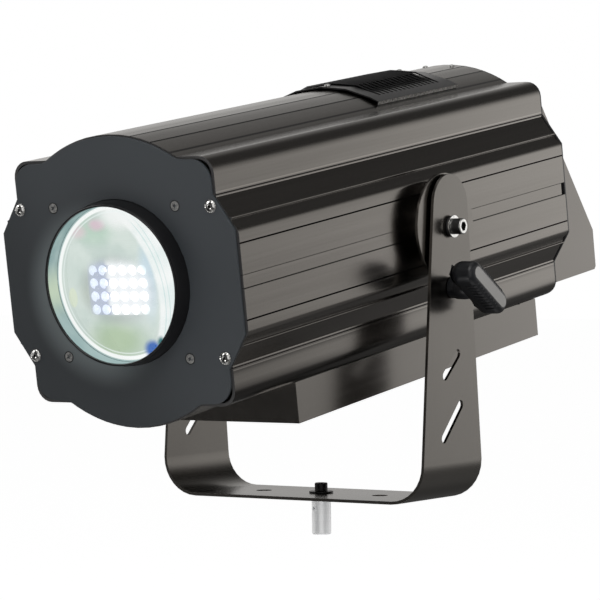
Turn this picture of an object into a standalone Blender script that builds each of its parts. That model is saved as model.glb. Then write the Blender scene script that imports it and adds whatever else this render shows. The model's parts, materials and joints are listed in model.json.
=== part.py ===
"""Yoke-mounted LED followspot: an extruded housing that tilts in a steel yoke on a spigot.

World frame in metres, +Z up. The beam leaves along -Y and +X is on the right when looking along +Y.
The origin is where the spigot's top face seats, at the centre of the underside of the yoke's base.
Everything on the tilting head is drawn level about the tilt axis and hangs on the empty head_axis,
which carries the photographed nose-down tilt.
"""

import math

import bmesh
import bpy
from mathutils import Matrix, Vector

# Clearances
GAP = 0.0003
RUNNING = 0.0003
SEAM_GAP = 0.0006
# How far a cutting shape reaches past the faces that it opens
PAST = 0.01
# How far a shape that is joined on reaches into its neighbour
LAP = 0.0005

# Yoke and spigot
PIVOT_Z = 0.266
ARM_OUTER_X = 0.1534
STRIP = 0.003
BEND_RADIUS = 0.038
BASE_HALF_WIDTH = 0.054
ARM_PIVOT_HALF_WIDTH = 0.0335
ARM_TOP_ABOVE_PIVOT = 0.0508
BASE_HOLE_X = 0.069
BASE_HOLE_RADIUS = 0.008
SLOT_RADIUS = 0.0045
UPPER_SLOT = ((0.0106, 0.1427), (-0.0132, 0.1223))
LOWER_SLOT = ((0.0150, 0.0932), (-0.0163, 0.0620))
SPIGOT_RADIUS = 0.0095
SPIGOT_LENGTH = 0.038
SPIGOT_CHAMFER = 0.0012
SPIGOT_THREAD_DEPTH = 0.022
SPIGOT_SCREW_REACH = 0.020
SPIGOT_PIN_BELOW_FACE = 0.012
SPIGOT_PIN_RADIUS = 0.0018
SPIGOT_PIN_DEPTH = 0.0033
SPIGOT_PIN_TURN = math.radians(-20.0)
M8_RADIUS = 0.004
M8_HEAD_RADIUS = 0.0065
M8_HEAD = 0.008
M8_HEAD_CHAMFER = 0.0006
M8_SOCKET_RADIUS = 0.0034
M8_SOCKET_DEPTH = 0.0045
M8_WASHER_RADIUS = 0.012
WASHER = 0.0015

# Head profile, seen along the beam
TILT = math.radians(8.5)
FLAT_X = 0.133
FLAT_Z = 0.0465
LOBE_X = 0.1125
LOBE_RADIUS = 0.0155
SEAM_Z = 0.078
ARC_RADIUS = 0.1345
VALLEY_BELOW_CROWN = 0.022
WALL = 0.003
FLAT_EDGE = 0.0030
FLAT_EDGE_BEVEL = (0.0008, 0.0004)
SLANT_RECESS = 0.001
SLANT_LIP = 0.0016
SLANT_HOLLOW_ALONG = 0.0071
SLANT_START = 0.0032
RIB_ALONG = 0.0129
RIB_WIDTH = 0.0016
RIB_HEIGHT = 0.0006
TONGUE = 0.0025
TONGUE_LAP = 0.008
CROWN_GROOVES = (10.8, 20.4)
SIDE_GROOVE_Z = 0.0343
GROOVE_WIDTH = 0.0012
GROOVE_DEPTH = 0.0012
TRACK_HALF_MOUTH = 0.0061
TRACK_HALF_WIDTH = 0.012
TRACK_LIP = 0.004
TRACK_DEPTH = 0.0105
TRACK_WALL = 0.0026

# Head length
BODY_FRONT = -0.324
BODY_REAR = 0.268
PLATE = 0.0027
FRONT_PLATE_INSET = 0.0025
FRONT_PLATE_ARC_INSET = 0.0015
REAR_PLATE_INSET = 0.0004
TRACK_STRIP_END_GAP = 0.007

# Lens and its barrel
BARREL_RADIUS = 0.076
BARREL_WALL = 0.006
BARREL_NOSE_WALL = 0.0036
BARREL_NOSE = 0.0145
BARREL_TAPER = 0.0085
LENS_STOP_LAP = 0.004
FLANGE_MARGIN = 0.004
FLANGE_CORNER = 0.010
FLANGE = 0.003
LENS_SAG = 0.0047
LENS_RIM = 0.0024
LENS_RIM_LAP = 0.0018
LENS_RIM_STEP = 0.0002
LENS_RIM_CHAMFER = 0.0006

# Light engine on its carriage
LED_FACE_BEHIND_LENS = 0.013
LED_COLUMNS = 6
LED_ROWS = 4
LED_PITCH_X = 0.0118
LED_PITCH_Z = 0.0122
LED_RADIUS = 0.0046
LED_TIP_RADIUS = 0.00285
LED_HEIGHT = 0.003
LED_BOARD = 0.002
LED_BOARD_MARGIN = 0.007
LED_BOARD_CORNER = 0.003
CARRIAGE = 0.004
CARRIAGE_HALF_X = 0.092
CARRIAGE_HALF_Z = 0.034
CARRIAGE_TAB_HALF = 0.014
CARRIAGE_SHOULDER = 0.020
ROD_RADIUS = 0.004
BUSH_RADIUS = 0.008
BUSH_LENGTH = 0.022
SCREW_ABOVE_BELLY = 0.0345
SCREW_RADIUS = 0.004
SINK_HALF_X = 0.050
SINK_HALF_Z = 0.042
SINK_BASE = 0.006
SINK_DEPTH = 0.040
FIN = 0.0026
FINS = 12
FAN_HALF = 0.045
FAN_CORNER = 0.005
FAN_DEPTH = 0.020
FAN_BORE = 0.041
FAN_SPOKE_HALF = 0.0022
FAN_SPOKE = 0.003
FAN_BOSS = 0.0045
FAN_HUB_RADIUS = 0.015
FAN_HUB_CHAMFER = 0.001
FAN_HUB = 0.011
FAN_BLADES = 7
FAN_BLADE_TIP_GAP = 0.002
FAN_BLADE = 0.0014
FAN_BLADE_CHORD = 0.012
FAN_BLADE_PITCH = math.radians(52.0)
BULKHEAD_Y = -0.060
BULKHEAD = 0.003
BULKHEAD_HOLE_RADIUS = 0.036
BULKHEAD_CORNER = 0.009
MOTOR_HALF = 0.021
MOTOR_CORNER = 0.004
MOTOR_LENGTH = 0.034
MOTOR_BORE_DEPTH = 0.008

# Vent cover on the crown
VENT_FRONT_Y = 0.027
VENT_REAR_Y = 0.180
VENT_HALF_ANGLE = 29.0
VENT_FIELD_ANGLE = 24.5
VENT_FLANGE_ANGLE = 0.25
VENT_STAND_OFF = 0.0036
VENT_SHEET = 0.0015
VENT_BORDER = 0.018
VENT_SLOTS = 15
VENT_PITCH = 0.008
VENT_SLOT = 0.0034
VENT_HOOD = 0.0024
VENT_OPENING_HALF_X = 0.046
VENT_OPENING_MARGIN = 0.014

# Driver tray under the body
TRAY_HALF_X = 0.1015
TRAY_BELOW_BELLY = 0.0165
TRAY_FRONT_Y = -0.213
TRAY_REAR_Y = 0.242
TRAY_SHEET = 0.0015
BOARD_THICK = 0.0016
BOARD_SIDE_MARGIN = 0.008
BOARD_END_MARGIN = 0.020
TALL_PART = 0.020
TALL_PART_WIDTH = 0.019
TALL_PART_MARGIN = 0.003
TALL_PARTS_ALONG = ((0.023, 0.083), (0.113, 0.153), (0.223, 0.283), (0.313, 0.383))
LOW_PART = 0.007
LOW_PART_HALF = 0.030
LOW_PARTS_ALONG = ((0.073, 0.133), (0.253, 0.323))
CABLE_PASSAGE_HALF = 0.035

# Control console behind the rear plate
CONSOLE_SIDE_INSET = 0.0005
CONSOLE_TOP_Z = 0.086
CONSOLE_DEPTH = 0.0887
CONSOLE_LIP_TOP_Z = -0.0577
CONSOLE_BOTTOM_Z = -0.100
CONSOLE_CORNER = 0.003
CONSOLE_WALL = 0.0025
PANEL_POST_RADIUS = 0.003
PANEL_POST_LENGTH = 0.0095
PANEL_POST_INSET = (0.008, 0.003)
CONTROL_BOARD_MARGIN = 0.012
CONTROL_BOARD_ABOVE = 0.0134
CONTROL_BOARD_BELOW = 0.0354
CONSOLE_PASSAGE_HALF = (0.060, 0.030)
CONSOLE_PASSAGE_Z = -0.010
DISPLAY_FLANGE = 0.003
DISPLAY_HALF_U = 0.035
DISPLAY_HALF_V = 0.015
DISPLAY_CENTRE = (-0.047, 0.026)
BUTTON_HALF = 0.0055
BUTTON_PROUD = 0.0028
BUTTON_TRAVEL = 0.0012
BUTTON_FIRST_U = 0.020
BUTTON_PITCH = 0.020
BUTTON_V = 0.026
BUTTON_FLANGE = 0.0015
BUTTON_STEM_RADIUS = 0.002
DIAL_RADIUS = 0.014
DIAL_HEIGHT = 0.015
DIAL_ABOVE_PANEL = 0.0008
DIAL_FLUTES = 10
DIAL_FLUTE_DEPTH = 0.0010
DIAL_MARK_HALF = 0.0006
DIAL_SHAFT_RADIUS = 0.003
DIAL_PITCH = 0.058
DIAL_V = -0.036
HANDLE_HALF_SPAN = 0.048
HANDLE_V = 0.066
HANDLE_STAND_OFF = 0.032
HANDLE_RADIUS = 0.0055
HANDLE_BEND = 0.012
HANDLE_FOOT_RADIUS = 0.0095
HANDLE_FOOT = 0.003

# Sockets and the mains rocker on the console's lip, as half sizes across and up
SOCKET_Z = -0.0785
SOCKET_DEPTH = 0.018
INLET_X = 0.074
INLET_HALF = (0.0135, 0.0100)
INLET_FLANGE_HALF = (0.0200, 0.0135)
INLET_FLANGE = 0.0022
INLET_MOUTH_HALF = (0.0115, 0.0080)
INLET_MOUTH_CORNER = 0.0040
INLET_FLOOR = 0.002
INLET_BLADE_HALF = (0.0010, 0.0020)
INLET_BLADE_PITCH = 0.007
INLET_BLADE_BELOW_FACE = 0.003
SWITCH_X = 0.030
SWITCH_HALF = (0.0085, 0.0115)
SWITCH_FLANGE_HALF = (0.0105, 0.0135)
SWITCH_FLANGE = 0.0018
SWITCH_MOUTH_HALF = (0.0070, 0.0100)
SWITCH_FLOOR = 0.003
ROCKER_HALF_X = 0.0066
ROCKER_AXIS_DEPTH = 0.003
ROCKER_WING = (0.0066, 0.0087)
ROCKER_DIP = 0.0055
ROCKER_BACK = (0.004, 0.0078)
ROCKER_KEEL = 0.006
ROCKER_TIP = math.radians(8.0)
ROCKER_PIN_RADIUS = 0.0012
ROCKER_PIN_LENGTH = 0.0156
DATA_IN_X = -0.026
DATA_OUT_X = -0.066
DATA_RADIUS = 0.0105
DATA_FLANGE_RADIUS = 0.0140
DATA_FLANGE_EDGE = 0.0008
DATA_FLANGE = 0.0024
DATA_MOUTH_RADIUS = 0.0078
DATA_MOUTH_DEPTH = 0.010
DATA_PINS = 5
DATA_PIN_RADIUS = 0.0009
DATA_PIN_CIRCLE = 0.0044
DATA_PIN_BELOW_FACE = 0.002
DATA_CORE_RADIUS = 0.0064
DATA_CORE_BELOW_FACE = 0.001
DATA_HOLE_DEPTH = 0.006

# Tilt joint and brake, one set on each side
DISC_RADIUS = 0.052
DISC = 0.003
DISC_HUB_RADIUS = 0.030
M10_RADIUS = 0.005
M10_HEAD_RADIUS = 0.00775
M10_HEAD = 0.0098
M10_HEAD_CHAMFER = 0.0008
M10_SOCKET_RADIUS = 0.0046
M10_SOCKET_DEPTH = 0.0055
M10_WASHER_RADIUS = 0.011
NUT_HALF_LENGTH = 0.019
NUT_SETBACK = 0.0016
STRIP_SETBACK = 0.0002
STRIP_WING_SETBACK = 0.0035
BUSHING_SLEEVE_RADIUS = 0.0075
BUSHING_FLANGE_RADIUS = 0.010
BUSHING_FLANGE = 0.0021
BRAKE_PLATE = 0.002
BRAKE_PLATE_HALF_WIDTH = 0.018
KNOB_BELOW_PIVOT = 0.059
KNOB_HUB_RADIUS = 0.0108
KNOB_HUB_START = 0.0006
KNOB_HUB_CHAMFER = 0.0006
KNOB_HUB_LENGTH = 0.009
KNOB_HUB_FLARE = 0.0012
KNOB_HUB_IN_WING = 0.006
KNOB_OUTER = 0.0436
KNOB_DEPTH = 0.0275
KNOB_HALF_LENGTH = 0.0365
KNOB_HALF_WIDTH = 0.0087
KNOB_ANGLE = math.radians(-31.5)
KNOB_RIDGES = 8
KNOB_RIDGE_PITCH = 0.0058
KNOB_RIDGE_DEPTH = 0.0009
INSERT_HALF_LENGTH = 0.0318
INSERT_HALF_WIDTH = 0.0048
INSERT_DEPTH = 0.0012
INSERT_PROUD = 0.0003

# Values that follow from the ones above
ARM_INNER_X = ARM_OUTER_X - STRIP
LOBE_TOP = ARC_RADIUS - VALLEY_BELOW_CROWN
TONGUE_TOP = SEAM_Z + TONGUE_LAP
CONSOLE_HALF_X = LOBE_X - CONSOLE_SIDE_INSET
VENT_RADIUS = ARC_RADIUS + VENT_STAND_OFF
TRAY_BOTTOM_Z = -ARC_RADIUS - TRAY_BELOW_BELLY
BARREL_BORE = BARREL_RADIUS - BARREL_WALL
BARREL_NOSE_RADIUS = BARREL_BORE + BARREL_NOSE_WALL
ROD_X = BARREL_RADIUS + FLANGE_MARGIN
SCREW_Z = SCREW_ABOVE_BELLY - LOBE_TOP
FRONT_PLATE_Y = BODY_FRONT - GAP - PLATE
REAR_PLATE_Y = BODY_REAR + GAP
CONSOLE_FRONT_Y = REAR_PLATE_Y + PLATE + GAP
CONSOLE_REAR_Y = CONSOLE_FRONT_Y + CONSOLE_DEPTH
FLANGE_FRONT_Y = BODY_FRONT
FLANGE_REAR_Y = FLANGE_FRONT_Y + FLANGE
BARREL_NOSE_Y = FRONT_PLATE_Y - BARREL_NOSE
LENS_BACK_Y = FLANGE_FRONT_Y - GAP
LED_TOP_Y = LENS_BACK_Y + LED_FACE_BEHIND_LENS
BOARD_FRONT_Y = LED_TOP_Y + LED_HEIGHT
CARRIAGE_Y = BOARD_FRONT_Y + LED_BOARD + GAP
SINK_Y = CARRIAGE_Y + CARRIAGE + GAP
FAN_Y = SINK_Y + SINK_DEPTH + GAP
BRAKE_PLATE_X = ARM_INNER_X - GAP - BRAKE_PLATE
DISC_X = BRAKE_PLATE_X - GAP - DISC
FLANGE_X = ARM_OUTER_X + GAP
WASHER_X = FLANGE_X + BUSHING_FLANGE + GAP
HEAD_X = WASHER_X + WASHER + GAP
PANEL_HALF_LENGTH = math.hypot(CONSOLE_DEPTH, CONSOLE_TOP_Z - CONSOLE_LIP_TOP_Z) / 2

# Finishes, as base colour, roughness and metallic value
FINISHES = {
    "housing": ((0.165, 0.155, 0.145), 0.34, 0.85),
    "front_sheet": ((0.035, 0.042, 0.050), 0.55, 0.35),
    "black_metal": ((0.012, 0.012, 0.013), 0.42, 0.5),
    "yoke_steel": ((0.105, 0.098, 0.092), 0.40, 0.7),
    "zinc": ((0.62, 0.62, 0.61), 0.28, 1.0),
    "spigot": ((0.74, 0.75, 0.76), 0.35, 1.0),
    "rubber": ((0.010, 0.010, 0.011), 0.75, 0.0),
    "grip": ((0.014, 0.015, 0.018), 0.5, 0.0),
    "grey_plastic": ((0.42, 0.41, 0.39), 0.5, 0.0),
    "glass": ((0.75, 0.82, 0.80), 0.03, 0.0),
    "light": ((0.95, 0.97, 1.0), 0.3, 0.0),
    "green_board": ((0.02, 0.10, 0.05), 0.45, 0.0),
    "plain_aluminium": ((0.55, 0.56, 0.57), 0.38, 1.0),
    "display": ((0.010, 0.016, 0.024), 0.08, 0.0),
}


def clear_scene():
    for item in list(bpy.data.objects):
        bpy.data.objects.remove(item, do_unlink=True)


def finish(name):
    """The named finish as a material, made on first use."""
    known = bpy.data.materials.get(name)
    if known:
        return known
    colour, roughness, metallic = FINISHES[name]
    made = bpy.data.materials.new(name)
    made.use_nodes = True
    shader = made.node_tree.nodes["Principled BSDF"]
    shader.inputs["Base Color"].default_value = (*colour, 1.0)
    shader.inputs["Roughness"].default_value = roughness
    shader.inputs["Metallic"].default_value = metallic
    return made


def arc(centre_a, centre_b, radius, start, stop, steps):
    """Points on a circle from one angle to another, in degrees, both ends included."""
    points = []
    for step in range(steps + 1):
        angle = math.radians(start + (stop - start) * step / steps)
        points.append((centre_a + radius * math.cos(angle), centre_b + radius * math.sin(angle)))
    return points


def circle(radius, steps, centre=(0.0, 0.0)):
    return arc(centre[0], centre[1], radius, 0.0, 360.0, steps)[:-1]


def rectangle(half_a, half_b, centre=(0.0, 0.0)):
    corners = ((-1, -1), (1, -1), (1, 1), (-1, 1))
    return [(centre[0] + a * half_a, centre[1] + b * half_b) for a, b in corners]


def rounded_rectangle(half_a, half_b, radius, steps=3, centre=(0.0, 0.0)):
    points = []
    for side_a, side_b, start in ((1, 1, 0.0), (-1, 1, 90.0), (-1, -1, 180.0), (1, -1, 270.0)):
        corner_a = centre[0] + side_a * (half_a - radius)
        corner_b = centre[1] + side_b * (half_b - radius)
        points += arc(corner_a, corner_b, radius, start, start + 90.0, steps)
    return points


def capsule(first, second, radius, steps=6):
    """A slot's outline round two centres."""
    heading = math.degrees(math.atan2(second[1] - first[1], second[0] - first[0]))
    points = arc(second[0], second[1], radius, heading - 90.0, heading + 90.0, steps)
    points += arc(first[0], first[1], radius, heading + 90.0, heading + 270.0, steps)
    return points


def turned_about(points, angle):
    c, s = math.cos(angle), math.sin(angle)
    return [(a * c - b * s, a * s + b * c) for a, b in points]


def spot(a, b, along, axis):
    """A point with coordinate along on the axis, and a and b on the other two in X, Y, Z order."""
    if axis == "X":
        return Vector((along, a, b))
    if axis == "Y":
        return Vector((a, along, b))
    return Vector((a, b, along))


def loft(outlines, places, axis):
    """A closed solid through outlines of equal point counts, one at each place along the axis."""
    shape = bmesh.new()
    rings = []
    for outline, place in zip(outlines, places):
        rings.append([shape.verts.new(spot(a, b, place, axis)) for a, b in outline])
    for low, high in zip(rings, rings[1:]):
        for near in range(len(low)):
            far = (near + 1) % len(low)
            shape.faces.new((low[near], low[far], high[far], high[near]))
    shape.faces.new(rings[0])
    shape.faces.new(rings[-1])
    bmesh.ops.recalc_face_normals(shape, faces=shape.faces)
    return shape


def prism(outline, low, high, axis):
    return loft([outline, outline], [low, high], axis)


def rod(radius, low, high, axis, steps=24, centre=(0.0, 0.0)):
    return prism(circle(radius, steps, centre), low, high, axis)


def turned(profile, axis, steps=32, centre=(0.0, 0.0)):
    """A solid of revolution from points of radius and place along the axis.

    A profile with both ends on the axis is closed there. One that stays off the axis closes on itself
    as a ring.
    """
    shape = bmesh.new()
    rings = []
    for radius, place in profile:
        if radius > 0.0:
            rings.append([shape.verts.new(spot(a, b, place, axis)) for a, b in circle(radius, steps, centre)])
    pairs = list(zip(rings, rings[1:]))
    if profile[0][0] > 0.0:
        pairs.append((rings[-1], rings[0]))
    else:
        for ring, (_, end), (_, beside) in (
                (rings[0], profile[0], profile[1]), (rings[-1], profile[-1], profile[-2])):
            if end == beside:
                shape.faces.new(ring)
                continue
            tip = shape.verts.new(spot(centre[0], centre[1], end, axis))
            for near in range(steps):
                shape.faces.new((ring[near], ring[(near + 1) % steps], tip))
    for low, high in pairs:
        for near in range(steps):
            far = (near + 1) % steps
            shape.faces.new((low[near], low[far], high[far], high[near]))
    bmesh.ops.recalc_face_normals(shape, faces=shape.faces)
    return shape


def box(x, y, z):
    """A block between a low and a high value on each axis."""
    return prism([(x[0], y[0]), (x[1], y[0]), (x[1], y[1]), (x[0], y[1])], z[0], z[1], "Z")


def together(shapes):
    """Several shapes that don't touch, as one mesh for a Boolean."""
    whole = bmesh.new()
    for shape in shapes:
        part = bpy.data.meshes.new("part")
        shape.to_mesh(part)
        shape.free()
        whole.from_mesh(part)
        bpy.data.meshes.remove(part)
    return whole


def mirrored(shape):
    """The same shape on the other side of X = 0."""
    bmesh.ops.transform(shape, matrix=Matrix.Scale(-1.0, 4, Vector((1.0, 0.0, 0.0))), verts=shape.verts)
    bmesh.ops.recalc_face_normals(shape, faces=shape.faces)
    return shape


def new_object(name, shape, parent, at):
    mesh = bpy.data.meshes.new(name)
    shape.to_mesh(mesh)
    shape.free()
    made = bpy.data.objects.new(name, mesh)
    bpy.context.scene.collection.objects.link(made)
    made.parent = parent
    made.matrix_basis = at
    return made


def piece(name, shape, look, parent=None, at=Matrix()):
    """One sub-part of the object, drawn in the frame that `at` gives under its parent."""
    made = new_object(name, shape, parent, at)
    made.data.materials.append(finish(look))
    made.data.shade_smooth()
    made.data.set_sharp_from_angle(angle=math.radians(32.0))
    return made


def shape_with(target, operation, name, shape):
    """Cuts or joins a helper shape, drawn in the target's own frame."""
    helper = new_object(name, shape, target.parent, target.matrix_basis.copy())
    helper.hide_render = True
    helper.display_type = "WIRE"
    boolean = target.modifiers.new(name, "BOOLEAN")
    boolean.operation = operation
    boolean.solver = "EXACT"
    boolean.object = helper


def cut(target, name, shape):
    shape_with(target, "DIFFERENCE", "cut_" + name, shape)


def fuse(target, name, shape):
    shape_with(target, "UNION", "add_" + name, shape)


def keep_common(target, name, shape):
    shape_with(target, "INTERSECT", "trim_" + name, shape)


def crown_points(radius, lobe_top, grooves):
    """The crown's arc from the right-hand valley to just short of the middle, with its grooves."""
    valley = math.degrees(math.acos(lobe_top / radius))
    third = (valley - CROWN_GROOVES[1]) / 3
    angles = [(valley, 0.0), (valley - third, 0.0), (valley - 2 * third, 0.0)]
    half = math.degrees(GROOVE_WIDTH / 2 / radius)
    middle = (CROWN_GROOVES[0] + CROWN_GROOVES[1]) / 2
    for centre, after in ((CROWN_GROOVES[1], middle), (CROWN_GROOVES[0], CROWN_GROOVES[0] / 2)):
        if grooves:
            angles += [(centre + half, 0.0), (centre, GROOVE_DEPTH), (centre - half, 0.0)]
        else:
            angles.append((centre, 0.0))
        angles.append((after, 0.0))
    return [
        ((radius - depth) * math.sin(math.radians(angle)), (radius - depth) * math.cos(math.radians(angle)))
        for angle, depth in angles
    ]


def upper_curve(inset=0.0, arc_inset=None, grooves=False):
    """The outline above the seams, from the right-hand seam over the crown to the left-hand one."""
    crown_radius = ARC_RADIUS - (inset if arc_inset is None else arc_inset)
    lobe_top = LOBE_TOP - inset
    right = [(LOBE_X - inset, SEAM_Z)]
    right += arc(LOBE_X - LOBE_RADIUS, LOBE_TOP - LOBE_RADIUS, LOBE_RADIUS - inset, 0.0, 90.0, 6)
    right += crown_points(crown_radius, lobe_top, grooves)
    left = [(-a, b) for a, b in reversed(right)]
    return right + [(0.0, crown_radius)] + left


def lower_curve(inset=0.0, arc_inset=None, grooves=False):
    """The same below, from the left-hand seam under the belly to the right-hand one."""
    return [(-a, -b) for a, b in upper_curve(inset, arc_inset, grooves)]


def body_outline(inset, arc_inset=None):
    flat = FLAT_X - inset
    left = [(-flat, FLAT_Z), (-flat, -FLAT_Z)]
    right = [(flat, -FLAT_Z), (flat, FLAT_Z)]
    return upper_curve(inset, arc_inset) + left + lower_curve(inset, arc_inset) + right


def along_slant(distance, height):
    """A place on the slant between flat side and seam, from the flat side's edge, raised by a height."""
    run = Vector((LOBE_X - FLAT_X, SEAM_Z - SEAM_GAP - FLAT_Z))
    direction = run.normalized()
    place = Vector((FLAT_X, FLAT_Z)) + direction * distance + Vector((direction.y, -direction.x)) * height
    return (place.x, place.y)


def slant_length():
    return Vector((LOBE_X - FLAT_X, SEAM_Z - SEAM_GAP - FLAT_Z)).length


def side_upper_outer():
    """The right-hand extrusion's outer face from its tongue down to the track's back wall."""
    tongue_face = LOBE_X - WALL - GAP
    seam = SEAM_Z - SEAM_GAP
    rib = RIB_ALONG
    bevel_x, bevel_z = FLAT_EDGE_BEVEL
    points = [(tongue_face - TONGUE, TONGUE_TOP), (tongue_face, TONGUE_TOP)]
    points += [(tongue_face, seam), (LOBE_X, seam)]
    points += [
        along_slant(slant_length() - SLANT_LIP, -SLANT_RECESS),
        along_slant(rib + RIB_WIDTH, -SLANT_RECESS),
        along_slant(rib + RIB_WIDTH / 2, RIB_HEIGHT),
        along_slant(rib - RIB_WIDTH / 2, RIB_HEIGHT),
        along_slant(rib - RIB_WIDTH, -SLANT_RECESS),
        along_slant(SLANT_HOLLOW_ALONG, -1.5 * SLANT_RECESS),
        along_slant(SLANT_START, -0.5 * SLANT_RECESS),
    ]
    points += [(FLAT_X - bevel_x, FLAT_Z - bevel_z), (FLAT_X, FLAT_Z - FLAT_EDGE)]
    points += [
        (FLAT_X, SIDE_GROOVE_Z + GROOVE_WIDTH / 2),
        (FLAT_X - GROOVE_DEPTH, SIDE_GROOVE_Z),
        (FLAT_X, SIDE_GROOVE_Z - GROOVE_WIDTH / 2),
        (FLAT_X, TRACK_HALF_MOUTH),
        (FLAT_X - TRACK_LIP, TRACK_HALF_MOUTH),
        (FLAT_X - TRACK_LIP, TRACK_HALF_WIDTH),
        (FLAT_X - TRACK_DEPTH, TRACK_HALF_WIDTH),
    ]
    return points


def side_upper_inner():
    """The same extrusion's inner face, from the track's back wall up to the tongue."""
    tongue_back = LOBE_X - WALL - GAP - TONGUE
    inner = FLAT_X - WALL - SLANT_RECESS
    run = Vector((LOBE_X - FLAT_X, SEAM_Z - SEAM_GAP - FLAT_Z))
    rise = run.y / run.x
    start = along_slant(0.0, -WALL - SLANT_RECESS)
    meets = start[1] + (tongue_back - start[0]) * rise
    return [
        (FLAT_X - TRACK_DEPTH - TRACK_WALL, TRACK_HALF_WIDTH + TRACK_WALL),
        (inner, TRACK_HALF_WIDTH + TRACK_WALL),
        (inner, start[1] + (inner - start[0]) * rise),
        (tongue_back, meets),
    ]


def side_outline():
    outer = side_upper_outer()
    inner = side_upper_inner()
    lower_outer = [(a, -b) for a, b in reversed(outer)]
    lower_inner = [(a, -b) for a, b in reversed(inner)]
    return outer + lower_outer + lower_inner + inner


# The U-strip yoke, tapered towards round arm tops
def make_yoke():
    inner = BEND_RADIUS - STRIP
    top = PIVOT_Z + ARM_TOP_ABOVE_PIVOT
    centre = ARM_OUTER_X - BEND_RADIUS
    outer_half = [(ARM_OUTER_X, top + STRIP)] + arc(centre, BEND_RADIUS, BEND_RADIUS, 0.0, -90.0, 8)
    inner_half = [(ARM_INNER_X, top + STRIP)] + arc(centre, BEND_RADIUS, inner, 0.0, -90.0, 8)
    mirrored_outer = [(-a, b) for a, b in reversed(outer_half)]
    mirrored_inner = [(-a, b) for a, b in reversed(inner_half)]
    section = outer_half + mirrored_outer + list(reversed(mirrored_inner)) + list(reversed(inner_half))
    wide = BASE_HALF_WIDTH + PAST
    yoke = piece("yoke", prism(section, -wide, wide, "Y"), "yoke_steel")

    taper = (BASE_HALF_WIDTH - ARM_PIVOT_HALF_WIDTH) / (PIVOT_Z - BEND_RADIUS)
    cap_above_pivot = (ARM_TOP_ABOVE_PIVOT - ARM_PIVOT_HALF_WIDTH) / (1 - taper)
    cap_radius = ARM_PIVOT_HALF_WIDTH - taper * cap_above_pivot
    through = (-ARM_OUTER_X - PAST, ARM_OUTER_X + PAST)
    silhouette = [(-BASE_HALF_WIDTH, -PAST), (BASE_HALF_WIDTH, -PAST), (BASE_HALF_WIDTH, BEND_RADIUS)]
    silhouette += arc(0.0, PIVOT_Z + cap_above_pivot, cap_radius, 0.0, 180.0, 14)
    silhouette += [(-BASE_HALF_WIDTH, BEND_RADIUS)]
    keep_common(yoke, "arms", prism(silhouette, *through, "X"))

    cut(yoke, "slots", together([
        prism(capsule(*UPPER_SLOT, SLOT_RADIUS), *through, "X"),
        prism(capsule(*LOWER_SLOT, SLOT_RADIUS), *through, "X"),
        rod(BUSHING_SLEEVE_RADIUS + GAP, *through, "X", 16, (0.0, PIVOT_Z)),
        rod(M8_RADIUS + GAP, *through, "X", 16, (0.0, PIVOT_Z - KNOB_BELOW_PIVOT)),
    ]))
    through_base = (-PAST, STRIP + PAST)
    cut(yoke, "base_holes", together([
        rod(BASE_HOLE_RADIUS, *through_base, "Z", 20, (BASE_HOLE_X, 0.0)),
        rod(BASE_HOLE_RADIUS, *through_base, "Z", 20, (-BASE_HOLE_X, 0.0)),
        rod(M8_RADIUS + GAP, *through_base, "Z", 16),
    ]))


# The spigot and the cap screw that holds it under the yoke
def make_spigot():
    spigot = piece("spigot", turned([
        (0.0, -GAP), (SPIGOT_RADIUS, -GAP), (SPIGOT_RADIUS, SPIGOT_CHAMFER - SPIGOT_LENGTH),
        (SPIGOT_RADIUS - SPIGOT_CHAMFER, -SPIGOT_LENGTH), (0.0, -SPIGOT_LENGTH),
    ], "Z", 24), "spigot")
    cut(spigot, "thread", rod(M8_RADIUS + GAP, -SPIGOT_THREAD_DEPTH, PAST, "Z", 16))
    pin = rod(SPIGOT_PIN_RADIUS, -SPIGOT_RADIUS - PAST, SPIGOT_PIN_DEPTH - SPIGOT_RADIUS, "Y", 12,
              (0.0, -SPIGOT_PIN_BELOW_FACE))
    turn = Matrix.Rotation(SPIGOT_PIN_TURN, 3, "Z")
    bmesh.ops.rotate(pin, cent=(0, 0, 0), matrix=turn, verts=pin.verts)
    cut(spigot, "pin_hole", pin)

    washer_low = STRIP + GAP
    piece("spigot_washer", turned([
        (M8_RADIUS + GAP, washer_low), (M8_WASHER_RADIUS, washer_low),
        (M8_WASHER_RADIUS, washer_low + WASHER), (M8_RADIUS + GAP, washer_low + WASHER),
    ], "Z", 20), "black_metal")
    head_low = washer_low + WASHER + GAP
    head_top = head_low + M8_HEAD
    screw = piece("spigot_screw", turned([
        (0.0, -SPIGOT_SCREW_REACH), (M8_RADIUS, -SPIGOT_SCREW_REACH), (M8_RADIUS, head_low),
        (M8_HEAD_RADIUS, head_low), (M8_HEAD_RADIUS, head_top - M8_HEAD_CHAMFER),
        (M8_HEAD_RADIUS - M8_HEAD_CHAMFER, head_top), (0.0, head_top),
    ], "Z", 16), "black_metal")
    cut(screw, "socket", rod(M8_SOCKET_RADIUS, head_top - M8_SOCKET_DEPTH, head_top + PAST, "Z", 6))


# The T-shaped clamp knob that presses the brake plate, drawn about its own axis
def knob_outline(half_length, half_width, ridge):
    """A ridged grip outline. Every section has the same number of points."""
    reach = half_length - half_width
    pitch = KNOB_RIDGE_PITCH * reach / (KNOB_HALF_LENGTH - KNOB_HALF_WIDTH)
    side = []
    for number in range(KNOB_RIDGES):
        place = (number - (KNOB_RIDGES - 1) / 2) * pitch
        side += [(place - pitch / 4, half_width - ridge), (place + pitch / 4, half_width)]
    upper = [(-a, b) for a, b in side]
    lower = [(a, -b) for a, b in side]
    points = arc(reach, 0.0, half_width, -90.0, 90.0, 6)
    points += upper
    points += arc(-reach, 0.0, half_width, 90.0, 270.0, 6)
    points += lower
    return turned_about(points, KNOB_ANGLE)


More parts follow.
